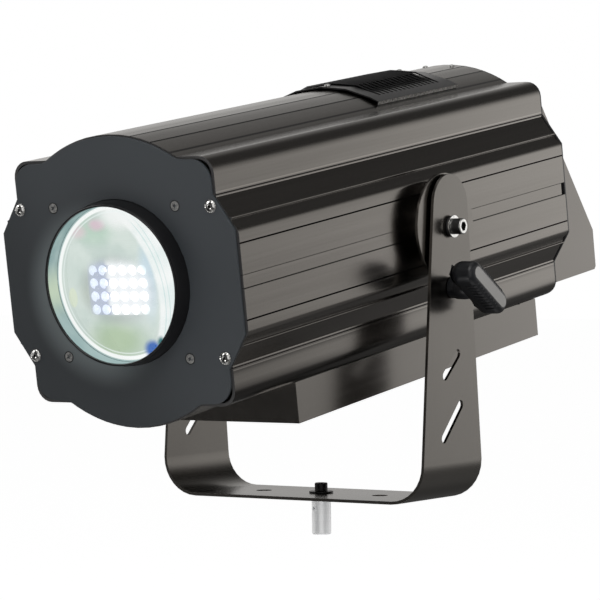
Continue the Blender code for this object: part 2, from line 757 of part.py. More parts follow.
def make_brake(side, sign):
    """Bushing, washer, brake plate and T-knob of one arm. The sign is 1 on the right and -1 on the left."""
    def handed(shape):
        return shape if sign > 0 else mirrored(shape)

    bolt_hole = M10_RADIUS + RUNNING
    axis_at = Matrix.Translation((0.0, 0.0, PIVOT_Z))
    piece("pivot_bushing_" + side, handed(turned([
        (bolt_hole, BRAKE_PLATE_X), (BUSHING_SLEEVE_RADIUS, BRAKE_PLATE_X), (BUSHING_SLEEVE_RADIUS, FLANGE_X),
        (BUSHING_FLANGE_RADIUS, FLANGE_X), (BUSHING_FLANGE_RADIUS, FLANGE_X + BUSHING_FLANGE),
        (bolt_hole, FLANGE_X + BUSHING_FLANGE),
    ], "X", 16)), "rubber", None, axis_at)
    piece("pivot_washer_" + side, handed(turned([
        (bolt_hole, WASHER_X), (M10_WASHER_RADIUS, WASHER_X), (M10_WASHER_RADIUS, WASHER_X + WASHER),
        (bolt_hole, WASHER_X + WASHER),
    ], "X", 16)), "zinc", None, axis_at)

    plate_outline = capsule((0.0, 0.0), (0.0, -KNOB_BELOW_PIVOT), BRAKE_PLATE_HALF_WIDTH, 8)
    plate = piece("brake_plate_" + side, handed(
        prism(plate_outline, BRAKE_PLATE_X, BRAKE_PLATE_X + BRAKE_PLATE, "X")), "black_metal", None, axis_at)
    cut(plate, "brake_plate_bore_" + side, handed(
        rod(BUSHING_SLEEVE_RADIUS + GAP, DISC_X, ARM_INNER_X, "X", 16)))

    # Each section of the grip: its place, and its shares of the full length, width and ridge depth
    wing_inner = KNOB_OUTER - KNOB_DEPTH
    sections = (
        (wing_inner, 0.60, 0.82, 0.0), (wing_inner + 0.0020, 0.84, 0.92, 0.2),
        (wing_inner + 0.0080, 0.98, 1.0, 1.0), (KNOB_OUTER - 0.0010, 1.0, 1.0, 1.0),
        (KNOB_OUTER, 0.975, 0.90, 0.3),
    )
    outlines = []
    places = []
    for place, length_share, width_share, ridge_share in sections:
        outlines.append(knob_outline(KNOB_HALF_LENGTH * length_share, KNOB_HALF_WIDTH * width_share,
                                     KNOB_RIDGE_DEPTH * ridge_share))
        places.append(ARM_OUTER_X + place)
    knob_at = Matrix.Translation((0.0, 0.0, PIVOT_Z - KNOB_BELOW_PIVOT))
    knob = piece("brake_knob_" + side, handed(loft(outlines, places, "X")), "grip", None, knob_at)
    hub_start = ARM_OUTER_X + KNOB_HUB_START
    hub_end = ARM_OUTER_X + wing_inner + KNOB_HUB_IN_WING
    stud_end = BRAKE_PLATE_X + BRAKE_PLATE + GAP
    fuse(knob, "hub_" + side, handed(turned([
        (0.0, stud_end), (M8_RADIUS, stud_end), (M8_RADIUS, hub_start),
        (KNOB_HUB_RADIUS - KNOB_HUB_CHAMFER, hub_start), (KNOB_HUB_RADIUS, hub_start + KNOB_HUB_CHAMFER),
        (KNOB_HUB_RADIUS, hub_start + KNOB_HUB_LENGTH), (KNOB_HUB_RADIUS + KNOB_HUB_FLARE, hub_end),
        (0.0, hub_end),
    ], "X", 16)))
    reach = INSERT_HALF_LENGTH - INSERT_HALF_WIDTH
    ends = turned_about([(-reach, 0.0), (reach, 0.0)], KNOB_ANGLE)
    floor = ARM_OUTER_X + KNOB_OUTER - INSERT_DEPTH
    face = ARM_OUTER_X + KNOB_OUTER + INSERT_PROUD
    cut(knob, "insert_pocket_" + side, handed(
        prism(capsule(*ends, INSERT_HALF_WIDTH + GAP, 5), floor, face + PAST, "X")))
    piece("knob_insert_" + side, handed(
        prism(capsule(*ends, INSERT_HALF_WIDTH, 5), floor + GAP, face, "X")), "grey_plastic", None, knob_at)


# The side's share of the tilt joint: friction disc, pivot bolt and the nut in the housing's track
def make_pivot(side, sign, head):
    def handed(shape):
        return shape if sign > 0 else mirrored(shape)

    bolt_hole = M10_RADIUS + GAP
    piece("friction_disc_" + side, handed(turned([
        (bolt_hole, FLAT_X + GAP), (DISC_HUB_RADIUS, FLAT_X + GAP), (DISC_HUB_RADIUS, DISC_X),
        (DISC_RADIUS, DISC_X), (DISC_RADIUS, DISC_X + DISC), (bolt_hole, DISC_X + DISC),
    ], "X", 36)), "housing", head)

    nut_back = FLAT_X - TRACK_DEPTH + GAP
    nut_front = FLAT_X - TRACK_LIP - GAP - NUT_SETBACK
    nut_half = TRACK_HALF_WIDTH - GAP
    nut = piece("pivot_nut_" + side, handed(
        prism(rectangle(NUT_HALF_LENGTH, nut_half), nut_back, nut_front, "X")), "zinc", head)
    cut(nut, "nut_thread_" + side, handed(rod(bolt_hole, nut_back - PAST, nut_front + PAST, "X", 16)))

    bolt_end = HEAD_X + M10_HEAD
    bolt = piece("pivot_bolt_" + side, handed(turned([
        (0.0, nut_back), (M10_RADIUS, nut_back), (M10_RADIUS, HEAD_X), (M10_HEAD_RADIUS, HEAD_X),
        (M10_HEAD_RADIUS, bolt_end - M10_HEAD_CHAMFER), (M10_HEAD_RADIUS - M10_HEAD_CHAMFER, bolt_end),
        (0.0, bolt_end),
    ], "X", 16)), "zinc", head)
    cut(bolt, "bolt_socket_" + side, handed(
        rod(M10_SOCKET_RADIUS, bolt_end - M10_SOCKET_DEPTH, bolt_end + PAST, "X", 6)))

    strip_face = FLAT_X - STRIP_SETBACK
    lip_face = FLAT_X - TRACK_LIP - GAP
    mouth = TRACK_HALF_MOUTH - GAP
    wing = TRACK_HALF_WIDTH - STRIP_WING_SETBACK
    back = nut_front + GAP
    section = [(strip_face, mouth), (lip_face, mouth), (lip_face, wing), (back, wing)]
    section += [(a, -b) for a, b in reversed(section)]
    strip = piece("track_strip_" + side, handed(
        prism(section, BODY_FRONT, BODY_REAR - TRACK_STRIP_END_GAP, "Y")), "housing", head)
    cut(strip, "strip_hole_" + side, handed(rod(bolt_hole, back - PAST, strip_face + PAST, "X", 16)))


# The four extrusions that make the housing, and the plates on its ends
def make_housing(head):
    wall = list(reversed(upper_curve(WALL)))
    section = upper_curve(grooves=True) + wall
    upper = piece("upper_extrusion", prism(section, BODY_FRONT, BODY_REAR, "Y"), "housing", head)
    opening_y = (VENT_FRONT_Y + VENT_OPENING_MARGIN, VENT_REAR_Y - VENT_OPENING_MARGIN)
    cut(upper, "hot_air_opening", box(
        (-VENT_OPENING_HALF_X, VENT_OPENING_HALF_X), opening_y, (LOBE_TOP, ARC_RADIUS + PAST)))

    flipped = [(a, -b) for a, b in reversed(section)]
    lower = piece("lower_extrusion", prism(flipped, BODY_FRONT, BODY_REAR, "Y"), "housing", head)
    cut(lower, "cable_passage", box(
        (-CABLE_PASSAGE_HALF, CABLE_PASSAGE_HALF), (-CABLE_PASSAGE_HALF, CABLE_PASSAGE_HALF),
        (-ARC_RADIUS - PAST, -LOBE_TOP)))

    side = side_outline()
    piece("side_extrusion_right", prism(side, BODY_FRONT, BODY_REAR, "Y"), "housing", head)
    piece("side_extrusion_left", mirrored(prism(side, BODY_FRONT, BODY_REAR, "Y")), "housing", head)

    front = piece("front_plate", prism(
        body_outline(FRONT_PLATE_INSET, FRONT_PLATE_ARC_INSET), FRONT_PLATE_Y, FRONT_PLATE_Y + PLATE, "Y"),
        "front_sheet", head)
    cut(front, "lens_opening", rod(
        BARREL_RADIUS + GAP, FRONT_PLATE_Y - PAST, FRONT_PLATE_Y + PLATE + PAST, "Y", 40))
    rear = piece("rear_plate", prism(
        body_outline(REAR_PLATE_INSET), REAR_PLATE_Y, REAR_PLATE_Y + PLATE, "Y"), "black_metal", head)
    cut(rear, "console_passage", prism(
        rounded_rectangle(*CONSOLE_PASSAGE_HALF, 0.006, 3, (0.0, CONSOLE_PASSAGE_Z)),
        REAR_PLATE_Y - PAST, REAR_PLATE_Y + PLATE + PAST, "Y"))

    # The inner wall that carries the guide rods' far ends, cut to clear the tracks and the tongues
    reach_x = FLAT_X - TRACK_DEPTH - TRACK_WALL - GAP
    reach_z = LOBE_TOP - WALL - GAP
    tongue = LOBE_X - WALL - GAP - TONGUE - GAP
    quarter = [(reach_x, FLAT_Z), (tongue, SEAM_Z - TONGUE_LAP), (tongue, LOBE_TOP - LOBE_RADIUS)]
    quarter += [(tongue - BULKHEAD_CORNER, reach_z)]
    outline = quarter + [(-a, b) for a, b in reversed(quarter)]
    outline += [(a, -b) for a, b in reversed(outline)]
    bulkhead = piece("inner_bulkhead", prism(outline, BULKHEAD_Y, BULKHEAD_Y + BULKHEAD, "Y"),
                     "plain_aluminium", head)
    through = (BULKHEAD_Y - PAST, BULKHEAD_Y + BULKHEAD + PAST)
    cut(bulkhead, "bulkhead_holes", together([
        rod(BULKHEAD_HOLE_RADIUS, *through, "Y", 24),
        rod(SCREW_RADIUS + GAP, *through, "Y", 16, (0.0, SCREW_Z)),
    ]))


# The curved louvred sheet over the hot-air opening
def make_vent_cover(head):
    flange = (VENT_HALF_ANGLE + VENT_FLANGE_ANGLE, ARC_RADIUS + GAP)
    columns = [flange] + [
        (angle, VENT_RADIUS) for angle in (VENT_HALF_ANGLE, VENT_FIELD_ANGLE, VENT_FIELD_ANGLE / 2)]
    columns += [(0.0, VENT_RADIUS)] + [(-angle, radius) for angle, radius in reversed(columns)]

    rows = [(VENT_FRONT_Y, False)]
    first = VENT_FRONT_Y + VENT_BORDER
    for number in range(VENT_SLOTS):
        rows += [(first + number * VENT_PITCH, False), (first + number * VENT_PITCH + VENT_SLOT, True)]
    rows.append((VENT_REAR_Y, False))

    shape = bmesh.new()
    grid = []
    for along, hooded in rows:
        line = []
        for angle, radius in columns:
            lifted = radius + (VENT_HOOD if hooded and abs(angle) < VENT_FIELD_ANGLE else 0.0)
            turn = math.radians(angle)
            line.append(shape.verts.new((lifted * math.sin(turn), along, lifted * math.cos(turn))))
        grid.append(line)
    for row in range(len(rows) - 1):
        slot_row = rows[row + 1][1]
        for column in range(len(columns) - 1):
            in_field = max(abs(columns[column][0]), abs(columns[column + 1][0])) <= VENT_FIELD_ANGLE
            if slot_row and in_field:
                continue
            shape.faces.new((
                grid[row][column], grid[row + 1][column], grid[row + 1][column + 1], grid[row][column + 1]))
    cover = piece("vent_cover", shape, "black_metal", head)
    sheet = cover.modifiers.new("sheet", "SOLIDIFY")
    sheet.thickness = VENT_SHEET
    sheet.offset = -1.0


# Barrel with its square flange behind the front plate, the lens and the rim that holds it
def make_lens(head):
    nose_y = BARREL_NOSE_Y
    barrel = piece("lens_barrel", turned([
        (BARREL_BORE, nose_y), (BARREL_NOSE_RADIUS, nose_y), (BARREL_RADIUS, nose_y + BARREL_TAPER),
        (BARREL_RADIUS, FLANGE_REAR_Y - LAP), (BARREL_BORE, FLANGE_REAR_Y - LAP),
    ], "Y", 40), "black_metal", head)
    half = BARREL_RADIUS + FLANGE_MARGIN
    fuse(barrel, "barrel_flange", prism(
        rounded_rectangle(half, half, FLANGE_CORNER), FLANGE_FRONT_Y, FLANGE_REAR_Y, "Y"))
    cut(barrel, "lens_stop", rod(
        BARREL_BORE - LENS_STOP_LAP, FLANGE_FRONT_Y - LAP, FLANGE_REAR_Y + PAST, "Y", 40))

    radius = BARREL_BORE - GAP
    sphere = (radius ** 2 + LENS_SAG ** 2) / (2 * LENS_SAG)
    widest = math.asin(radius / sphere)
    rings = 5
    profile = [(0.0, nose_y - LENS_SAG)]
    for ring in range(1, rings + 1):
        turn = widest * ring / rings
        profile.append((sphere * math.sin(turn), nose_y - LENS_SAG + sphere * (1 - math.cos(turn))))
    profile += [(radius, LENS_BACK_Y), (0.0, LENS_BACK_Y)]
    piece("front_lens", turned(profile, "Y", 40), "glass", head)

    lip = radius - LENS_RIM_LAP + GAP
    outer = BARREL_NOSE_RADIUS - LENS_RIM_STEP
    back = nose_y - GAP
    front = back - LENS_RIM
    piece("lens_rim", turned([
        (lip, front), (outer - LENS_RIM_CHAMFER, front), (outer, front + LENS_RIM_CHAMFER),
        (outer, back), (radius, back), (lip, back - 2 * LENS_RIM_STEP),
    ], "Y", 40), "zinc", head)


# LED board, carriage, heatsink and fan, which slide together along the beam
def make_light_engine(head):
    board_x = LED_PITCH_X * (LED_COLUMNS - 1) / 2 + LED_RADIUS + LED_BOARD_MARGIN
    board_z = LED_PITCH_Z * (LED_ROWS - 1) / 2 + LED_RADIUS + LED_BOARD_MARGIN
    board_rear_y = BOARD_FRONT_Y + LED_BOARD
    board = piece("led_board", prism(
        rounded_rectangle(board_x, board_z, LED_BOARD_CORNER, 2), BOARD_FRONT_Y, board_rear_y, "Y"),
        "light", head)
    emitters = []
    for column in range(LED_COLUMNS):
        for row in range(LED_ROWS):
            x = (column - (LED_COLUMNS - 1) / 2) * LED_PITCH_X
            z = (row - (LED_ROWS - 1) / 2) * LED_PITCH_Z
            narrow = circle(LED_TIP_RADIUS, 6, (x, z))
            wide = circle(LED_RADIUS, 6, (x, z))
            emitters.append(loft([narrow, wide], [LED_TOP_Y, BOARD_FRONT_Y + LED_BOARD / 2], "Y"))
    fuse(board, "emitters", together(emitters))

    rear = CARRIAGE_Y + CARRIAGE
    tab = CARRIAGE_TAB_HALF
    half = [
        (CARRIAGE_HALF_X, CARRIAGE_HALF_Z), (CARRIAGE_HALF_X, -CARRIAGE_HALF_Z),
        (tab + CARRIAGE_SHOULDER, -CARRIAGE_HALF_Z), (tab, SCREW_Z + tab), (tab, SCREW_Z - tab),
    ]
    outline = half + [(-a, b) for a, b in reversed(half)]
    carriage = piece("engine_carriage", prism(outline, CARRIAGE_Y, rear, "Y"), "plain_aluminium", head)
    fuse(carriage, "bushes", together([
        rod(BUSH_RADIUS, CARRIAGE_Y + LAP, CARRIAGE_Y + BUSH_LENGTH, "Y", 12, centre)
        for centre in ((ROD_X, 0.0), (-ROD_X, 0.0), (0.0, SCREW_Z))
    ]))
    bore = (CARRIAGE_Y - PAST, CARRIAGE_Y + BUSH_LENGTH + PAST)
    cut(carriage, "bush_bores", together([
        rod(ROD_RADIUS + RUNNING, *bore, "Y", 12, (ROD_X, 0.0)),
        rod(ROD_RADIUS + RUNNING, *bore, "Y", 12, (-ROD_X, 0.0)),
        rod(SCREW_RADIUS + RUNNING, *bore, "Y", 12, (0.0, SCREW_Z)),
    ]))

    comb = [(SINK_HALF_X, SINK_Y), (-SINK_HALF_X, SINK_Y)]
    pitch = (2 * SINK_HALF_X - FIN) / (FINS - 1)
    for number in range(FINS):
        start = -SINK_HALF_X + number * pitch
        if number:
            comb.append((start, SINK_Y + SINK_BASE))
        comb += [(start, SINK_Y + SINK_DEPTH), (start + FIN, SINK_Y + SINK_DEPTH)]
        if number < FINS - 1:
            comb.append((start + FIN, SINK_Y + SINK_BASE))
    piece("heatsink", prism(comb, -SINK_HALF_Z, SINK_HALF_Z, "Z"), "plain_aluminium", head)

    fan_rear = FAN_Y + FAN_DEPTH
    frame = piece("fan_frame", prism(
        rounded_rectangle(FAN_HALF, FAN_HALF, FAN_CORNER), FAN_Y, fan_rear, "Y"), "black_metal", head)
    cut(frame, "fan_bore", rod(FAN_BORE, FAN_Y - PAST, fan_rear + PAST, "Y", 28))
    spoke = FAN_SPOKE_HALF
    reach = FAN_BORE + 4 * LAP
    cross = [(reach, spoke), (spoke, spoke), (spoke, reach)]
    cross += [(-a, b) for a, b in reversed(cross)]
    cross += [(-a, -b) for a, b in cross]
    fuse(frame, "fan_spokes", prism(cross, fan_rear - FAN_SPOKE, fan_rear - GAP, "Y"))
    fuse(frame, "fan_boss", rod(FAN_HUB_RADIUS, fan_rear - FAN_BOSS, fan_rear - GAP / 2, "Y", 16))

    hub_rear = fan_rear - FAN_BOSS - GAP
    hub_front = hub_rear - FAN_HUB
    hub = piece("fan_rotor", turned([
        (0.0, hub_front), (FAN_HUB_RADIUS - FAN_HUB_CHAMFER, hub_front),
        (FAN_HUB_RADIUS, hub_front + FAN_HUB_CHAMFER), (FAN_HUB_RADIUS, hub_rear), (0.0, hub_rear),
    ], "Y", 16), "black_metal", head)
    blades = []
    pitched = Matrix.Rotation(FAN_BLADE_PITCH, 4, "X")
    at_hub = Matrix.Translation((0.0, (hub_front + hub_rear) / 2, 0.0))
    for number in range(FAN_BLADES):
        blade = box(
            (FAN_HUB_RADIUS - FAN_HUB_CHAMFER, FAN_BORE - FAN_BLADE_TIP_GAP),
            (-FAN_BLADE / 2, FAN_BLADE / 2), (-FAN_BLADE_CHORD / 2, FAN_BLADE_CHORD / 2))
        spun = Matrix.Rotation(2 * math.pi * number / FAN_BLADES, 4, "Y")
        bmesh.ops.transform(blade, matrix=at_hub @ spun @ pitched, verts=blade.verts)
        blades.append(blade)
    fuse(hub, "fan_blades", together(blades))


# Rods, lead screw and motor that guide and drive the carriage
def make_zoom_drive(head):
    start = FLANGE_REAR_Y + GAP
    for side, sign in (("right", 1), ("left", -1)):
        piece("guide_rod_" + side, rod(ROD_RADIUS, start, BULKHEAD_Y - GAP, "Y", 12, (sign * ROD_X, 0.0)),
              "zinc", head)
    motor_front = BULKHEAD_Y + BULKHEAD + GAP
    screw_end = motor_front + MOTOR_BORE_DEPTH - GAP
    on_screw = Matrix.Translation((0.0, 0.0, SCREW_Z))
    piece("zoom_screw", rod(SCREW_RADIUS, start, screw_end, "Y", 12), "zinc", head, on_screw)
    motor = piece("zoom_motor", prism(
        rounded_rectangle(MOTOR_HALF, MOTOR_HALF, MOTOR_CORNER, 2), motor_front, motor_front + MOTOR_LENGTH,
        "Y"), "black_metal", head, on_screw)
    cut(motor, "motor_bore", rod(
        SCREW_RADIUS + RUNNING, motor_front - PAST, motor_front + MOTOR_BORE_DEPTH, "Y", 16))


# The sheet tray under the body, with the driver board in it
def make_driver_tray(head):
    high = LOBE_RADIUS - LOBE_TOP
    tray = piece("driver_tray", box(
        (-TRAY_HALF_X, TRAY_HALF_X), (TRAY_FRONT_Y, TRAY_REAR_Y), (TRAY_BOTTOM_Z, high)), "housing", head)
    cut(tray, "tray_hollow", box(
        (TRAY_SHEET - TRAY_HALF_X, TRAY_HALF_X - TRAY_SHEET),
        (TRAY_FRONT_Y + TRAY_SHEET, TRAY_REAR_Y - TRAY_SHEET), (TRAY_BOTTOM_Z + TRAY_SHEET, high + PAST)))
    cut(tray, "tray_seat", prism(body_outline(-GAP), TRAY_FRONT_Y - PAST, TRAY_REAR_Y + PAST, "Y"))

    floor = TRAY_BOTTOM_Z + TRAY_SHEET + GAP
    top = floor + BOARD_THICK
    half_x = TRAY_HALF_X - BOARD_SIDE_MARGIN
    start = TRAY_FRONT_Y + BOARD_END_MARGIN
    board = piece("driver_board", box(
        (-half_x, half_x), (start, TRAY_REAR_Y - BOARD_END_MARGIN), (floor, top)), "green_board", head)
    outer = half_x - TALL_PART_MARGIN
    blocks = []
    for low, high in TALL_PARTS_ALONG:
        for x in ((outer - TALL_PART_WIDTH, outer), (-outer, TALL_PART_WIDTH - outer)):
            blocks.append(box(x, (start + low, start + high), (top - LAP, top + TALL_PART)))
    for low, high in LOW_PARTS_ALONG:
        blocks.append(box(
            (-LOW_PART_HALF, LOW_PART_HALF), (start + low, start + high), (top - LAP, top + LOW_PART)))
    fuse(board, "driver_components", together(blocks))


def console_outline(inset):
    """The console's side view, drawn in from its outer faces by an inset and open to the rear plate."""
    slope = math.atan2(CONSOLE_TOP_Z - CONSOLE_LIP_TOP_Z, CONSOLE_DEPTH)
    rear = CONSOLE_REAR_Y - inset
    front = CONSOLE_FRONT_Y if inset == 0.0 else CONSOLE_FRONT_Y - PAST
    top_z = CONSOLE_TOP_Z - inset / math.cos(slope) - (front - CONSOLE_FRONT_Y) * math.tan(slope)
    lip_z = CONSOLE_LIP_TOP_Z - inset / math.cos(slope) + inset * math.tan(slope)
    bottom = CONSOLE_BOTTOM_Z + inset
    corner = CONSOLE_CORNER
    return [(front, bottom), (rear - corner, bottom), (rear, bottom + corner), (rear, lip_z), (front, top_z)]


def panel_frame():
    """The sloped panel's frame: U to the operator's right, V up the slope and N out of it, at its middle."""
    up = Vector((0.0, -CONSOLE_DEPTH, CONSOLE_TOP_Z - CONSOLE_LIP_TOP_Z)).normalized()
    right = Vector((-1.0, 0.0, 0.0))
    out = right.cross(up)
    middle = Vector((0.0, CONSOLE_FRONT_Y + CONSOLE_DEPTH / 2, (CONSOLE_TOP_Z + CONSOLE_LIP_TOP_Z) / 2))
    frame = Matrix((right, up, out)).transposed().to_4x4()
    frame.translation = middle
    return frame


# The sloped control console and everything on it
def make_console(head):
    panel = panel_frame()
    housing = piece("console_housing", prism(
        console_outline(0.0), -CONSOLE_HALF_X, CONSOLE_HALF_X, "X"), "housing", head)
    cut(housing, "console_hollow", prism(
        console_outline(CONSOLE_WALL), CONSOLE_WALL - CONSOLE_HALF_X, CONSOLE_HALF_X - CONSOLE_WALL, "X"))

    def on_panel(shape):
        bmesh.ops.transform(shape, matrix=panel, verts=shape.verts)
        return shape

    board_u = CONSOLE_HALF_X - CONTROL_BOARD_MARGIN
    board_v = (CONTROL_BOARD_ABOVE - PANEL_HALF_LENGTH, PANEL_HALF_LENGTH - CONTROL_BOARD_BELOW)
    posts = []
    for u in (PANEL_POST_INSET[0] - board_u, board_u - PANEL_POST_INSET[0]):
        for v in (board_v[0] + PANEL_POST_INSET[1], board_v[1] - PANEL_POST_INSET[1]):
            posts.append(on_panel(rod(
                PANEL_POST_RADIUS, -CONSOLE_WALL - PANEL_POST_LENGTH, -CONSOLE_WALL / 2, "Z", 8, (u, v))))
    fuse(housing, "board_posts", together(posts))

    buttons = [(BUTTON_FIRST_U + number * BUTTON_PITCH, BUTTON_V) for number in range(4)]
    dials = [((number - 1) * DIAL_PITCH, DIAL_V) for number in range(3)]
    through = (-CONSOLE_WALL - PAST / 2, PAST)
    holes = [prism(rounded_rectangle(
        DISPLAY_HALF_U + GAP, DISPLAY_HALF_V + GAP, 0.002, 2, DISPLAY_CENTRE), *through, "Z")]
    for centre in buttons:
        holes.append(prism(
            rounded_rectangle(BUTTON_HALF + GAP, BUTTON_HALF + GAP, 0.0015, 1, centre), *through, "Z"))
    for centre in dials:
        holes.append(rod(DIAL_SHAFT_RADIUS + RUNNING, *through, "Z", 12, centre))
    cut(housing, "panel_holes", together([on_panel(hole) for hole in holes]))

    back = -CONSOLE_WALL - GAP
    window = piece("display_window", prism(
        rounded_rectangle(DISPLAY_HALF_U, DISPLAY_HALF_V, 0.002, 2, DISPLAY_CENTRE),
        back - LAP, -GAP, "Z"), "display", head, panel)
    fuse(window, "display_flange", prism(
        rounded_rectangle(DISPLAY_HALF_U + DISPLAY_FLANGE, DISPLAY_HALF_V + DISPLAY_FLANGE, 0.002, 2,
                          DISPLAY_CENTRE), back - BOARD_THICK, back, "Z"))

    board_top = -CONSOLE_WALL - PANEL_POST_LENGTH - GAP
    for number, (u, v) in enumerate(buttons, 1):
        at = panel @ Matrix.Translation((u, v, 0.0))
        button = piece("button_%d" % number, loft([
            rounded_rectangle(BUTTON_HALF, BUTTON_HALF, 0.0015, 1),
            rounded_rectangle(BUTTON_HALF, BUTTON_HALF, 0.0015, 1),
            rounded_rectangle(BUTTON_HALF - 0.0006, BUTTON_HALF - 0.0006, 0.0012, 1),
        ], [back - LAP, BUTTON_PROUD - 0.0006, BUTTON_PROUD], "Z"), "rubber", head, at)
        wide = BUTTON_HALF + BUTTON_FLANGE
        fuse(button, "button_flange_%d" % number, prism(rectangle(wide, wide), back - 0.0012, back, "Z"))
        fuse(button, "button_stem_%d" % number, rod(
            BUTTON_STEM_RADIUS, board_top + BUTTON_TRAVEL + GAP, back - LAP, "Z", 10))

    for number, (u, v) in enumerate(dials, 1):
        at = panel @ Matrix.Translation((u, v, 0.0))
        share = 360.0 / DIAL_FLUTES
        grip = []
        for step in range(DIAL_FLUTES):
            land = step * share
            flute = land + 0.67 * share
            grip += arc(0.0, 0.0, DIAL_RADIUS, land, land + 0.53 * share, 1)
            grip += arc(0.0, 0.0, DIAL_RADIUS - DIAL_FLUTE_DEPTH, flute, flute + 0.19 * share, 1)
        crown = [(a * 0.9, b * 0.9) for a, b in grip]
        low = DIAL_ABOVE_PANEL
        dial = piece("control_dial_%d" % number, loft(
            [grip, grip, crown], [low, DIAL_HEIGHT - 0.0015, DIAL_HEIGHT], "Z"), "grip", head, at)
        fuse(dial, "dial_shaft_%d" % number, rod(DIAL_SHAFT_RADIUS, board_top + GAP, low + LAP, "Z", 12))
        cut(dial, "dial_mark_%d" % number, box(
            (-DIAL_MARK_HALF, DIAL_MARK_HALF), (DIAL_RADIUS * 0.25, DIAL_RADIUS * 0.8),
            (DIAL_HEIGHT - DIAL_MARK_HALF, DIAL_HEIGHT + PAST)))

    board_outline = [(-board_u, board_v[0]), (board_u, board_v[0])]
    board_outline += [(board_u, board_v[1]), (-board_u, board_v[1])]
    piece("control_board", prism(board_outline, board_top - BOARD_THICK, board_top, "Z"),
          "green_board", head, panel)

    feet = GAP
    top = HANDLE_STAND_OFF
    reach = HANDLE_HALF_SPAN
    route = [(reach, feet)] + arc(reach - HANDLE_BEND, top - HANDLE_BEND, HANDLE_BEND, 0.0, 90.0, 5)
    route += arc(HANDLE_BEND - reach, top - HANDLE_BEND, HANDLE_BEND, 90.0, 180.0, 5) + [(-reach, feet)]
    at = panel @ Matrix.Translation((0.0, HANDLE_V, 0.0))
    handle = piece("steering_handle", bent_tube(route, HANDLE_RADIUS, 10), "grip", head, at)
    fuse(handle, "handle_feet", together([
        rod(HANDLE_FOOT_RADIUS, feet, feet + HANDLE_FOOT, "Z", 16, (reach, 0.0)),
        rod(HANDLE_FOOT_RADIUS, feet, feet + HANDLE_FOOT, "Z", 16, (-reach, 0.0)),
    ]))
    make_sockets(head, housing)


def bent_tube(route, radius, sides):
    """A round bar along a route of X and Z places, bent in that plane."""
    shape = bmesh.new()
    rings = []
    for number, (x, z) in enumerate(route):
        before = Vector(route[max(number - 1, 0)])
        after = Vector(route[min(number + 1, len(route) - 1)])
        heading = (after - before).normalized()
        across = Vector((heading.y, 0.0, -heading.x))
        if number in (0, len(route) - 1):
            across = Vector((1.0 if number == 0 else -1.0, 0.0, 0.0))
        ring = []
        for step in range(sides):
            angle = 2 * math.pi * step / sides
            place = Vector((x, 0.0, z)) + across * (radius * math.cos(angle))
            place.y += radius * math.sin(angle)
            ring.append(shape.verts.new(place))
        rings.append(ring)
    for low, high in zip(rings, rings[1:]):
        for near in range(sides):
            far = (near + 1) % sides
            shape.faces.new((low[near], low[far], high[far], high[near]))
    shape.faces.new(rings[0])
    shape.faces.new(rings[-1])
    bmesh.ops.recalc_face_normals(shape, faces=shape.faces)
    return shape


